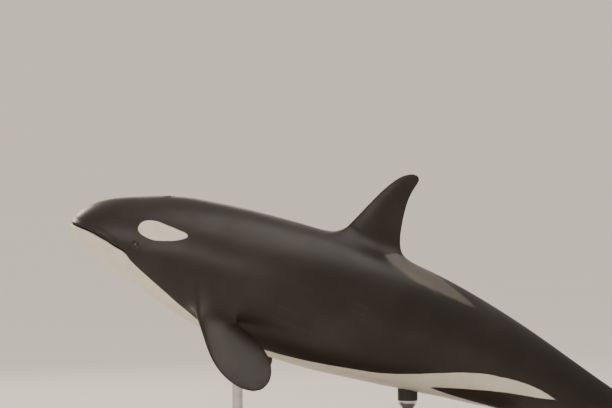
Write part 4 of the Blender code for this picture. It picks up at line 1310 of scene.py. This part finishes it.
# Room: floor, light and the photograph's view
room = dict(
    floor=1400.0, worldColour=(1.0, 0.955, 0.895), worldStrength=0.52, boxTarget=(-0.2, 0.0, 1.5),
)
sunlight = dict(place=(-9.0, 11.0, 9.0), target=(0.0, 0.0, 1.4), energy=3.3, angle=26.0,
                colour=(1.0, 0.88, 0.73))
softBoxes = dict(                               # place, size, power, colour
    boxFront=((-5.0, -9.0, 5.5), (8.0, 3.0), 330.0, (1.0, 0.95, 0.88)),
    boxOver=((1.0, -1.0, 8.5), (9.0, 4.0), 300.0, (1.0, 0.96, 0.90)),
    boxBehind=((-4.0, 9.0, 5.0), (9.0, 3.5), 260.0, (1.0, 0.88, 0.72)),
)
view = dict(
    frame=(612, 408), pixelsPerMetre=119.0, snoutPixel=(73.6, 214.6),
    elevation=3.0, distance=50.0, sensor=36.0, clip=(1.0, 2000.0),
)


def makeFloor():
    bpy.ops.object.select_all(action="DESELECT")
    bpy.ops.mesh.primitive_plane_add(size=room["floor"])
    ground = bpy.context.object
    ground.name = ground.data.name = "floor"
    dress(floorFinish(), ground)


def makeWorld():
    world = bpy.data.worlds.new("softSky")
    bpy.context.scene.world = world
    world.use_nodes = True
    background = world.node_tree.nodes["Background"]
    background.inputs["Color"].default_value = (*room["worldColour"], 1.0)
    background.inputs["Strength"].default_value = room["worldStrength"]


def stand(data, place, target):
    # sets a lamp or the camera up at its place, turned to its target
    held = bpy.data.objects.new(data.name, data)
    held.location = place
    held.rotation_euler = (Vector(target) - held.location).to_track_quat("-Z", "Y").to_euler()
    bpy.context.scene.collection.objects.link(held)
    return held


def makeLights():
    sun = bpy.data.lights.new("lowSun", "SUN")
    sun.energy, sun.color = sunlight["energy"], sunlight["colour"]
    sun.angle = math.radians(sunlight["angle"])
    stand(sun, sunlight["place"], sunlight["target"])
    for name, (place, size, power, colour) in softBoxes.items():
        lamp = bpy.data.lights.new(name, "AREA")
        lamp.shape = "RECTANGLE"
        lamp.size, lamp.size_y = size
        lamp.energy, lamp.color = power, colour
        stand(lamp, place, room["boxTarget"])


def makeCamera():
    # the snout falls on its pixel of the photograph, at the photograph's scale
    wide, tall = view["frame"]
    scale = view["pixelsPerMetre"]
    aside = (wide / 2 - view["snoutPixel"][0]) / scale
    above = (view["snoutPixel"][1] - tall / 2) / scale
    target = Vector((spine["snout"][0] + aside, 0.0, spine["snout"][1] + above))
    lean = math.radians(view["elevation"])
    made = bpy.data.cameras.new("photoView")
    made.sensor_width = view["sensor"]
    made.lens = view["sensor"] * view["distance"] * scale / wide
    made.clip_start, made.clip_end = view["clip"]
    towards = Vector((0.0, -math.cos(lean), math.sin(lean)))
    bpy.context.scene.camera = stand(made, target + towards * view["distance"], target)


makeFloor()
makeWorld()
makeLights()
makeCamera()
say("room and camera set")
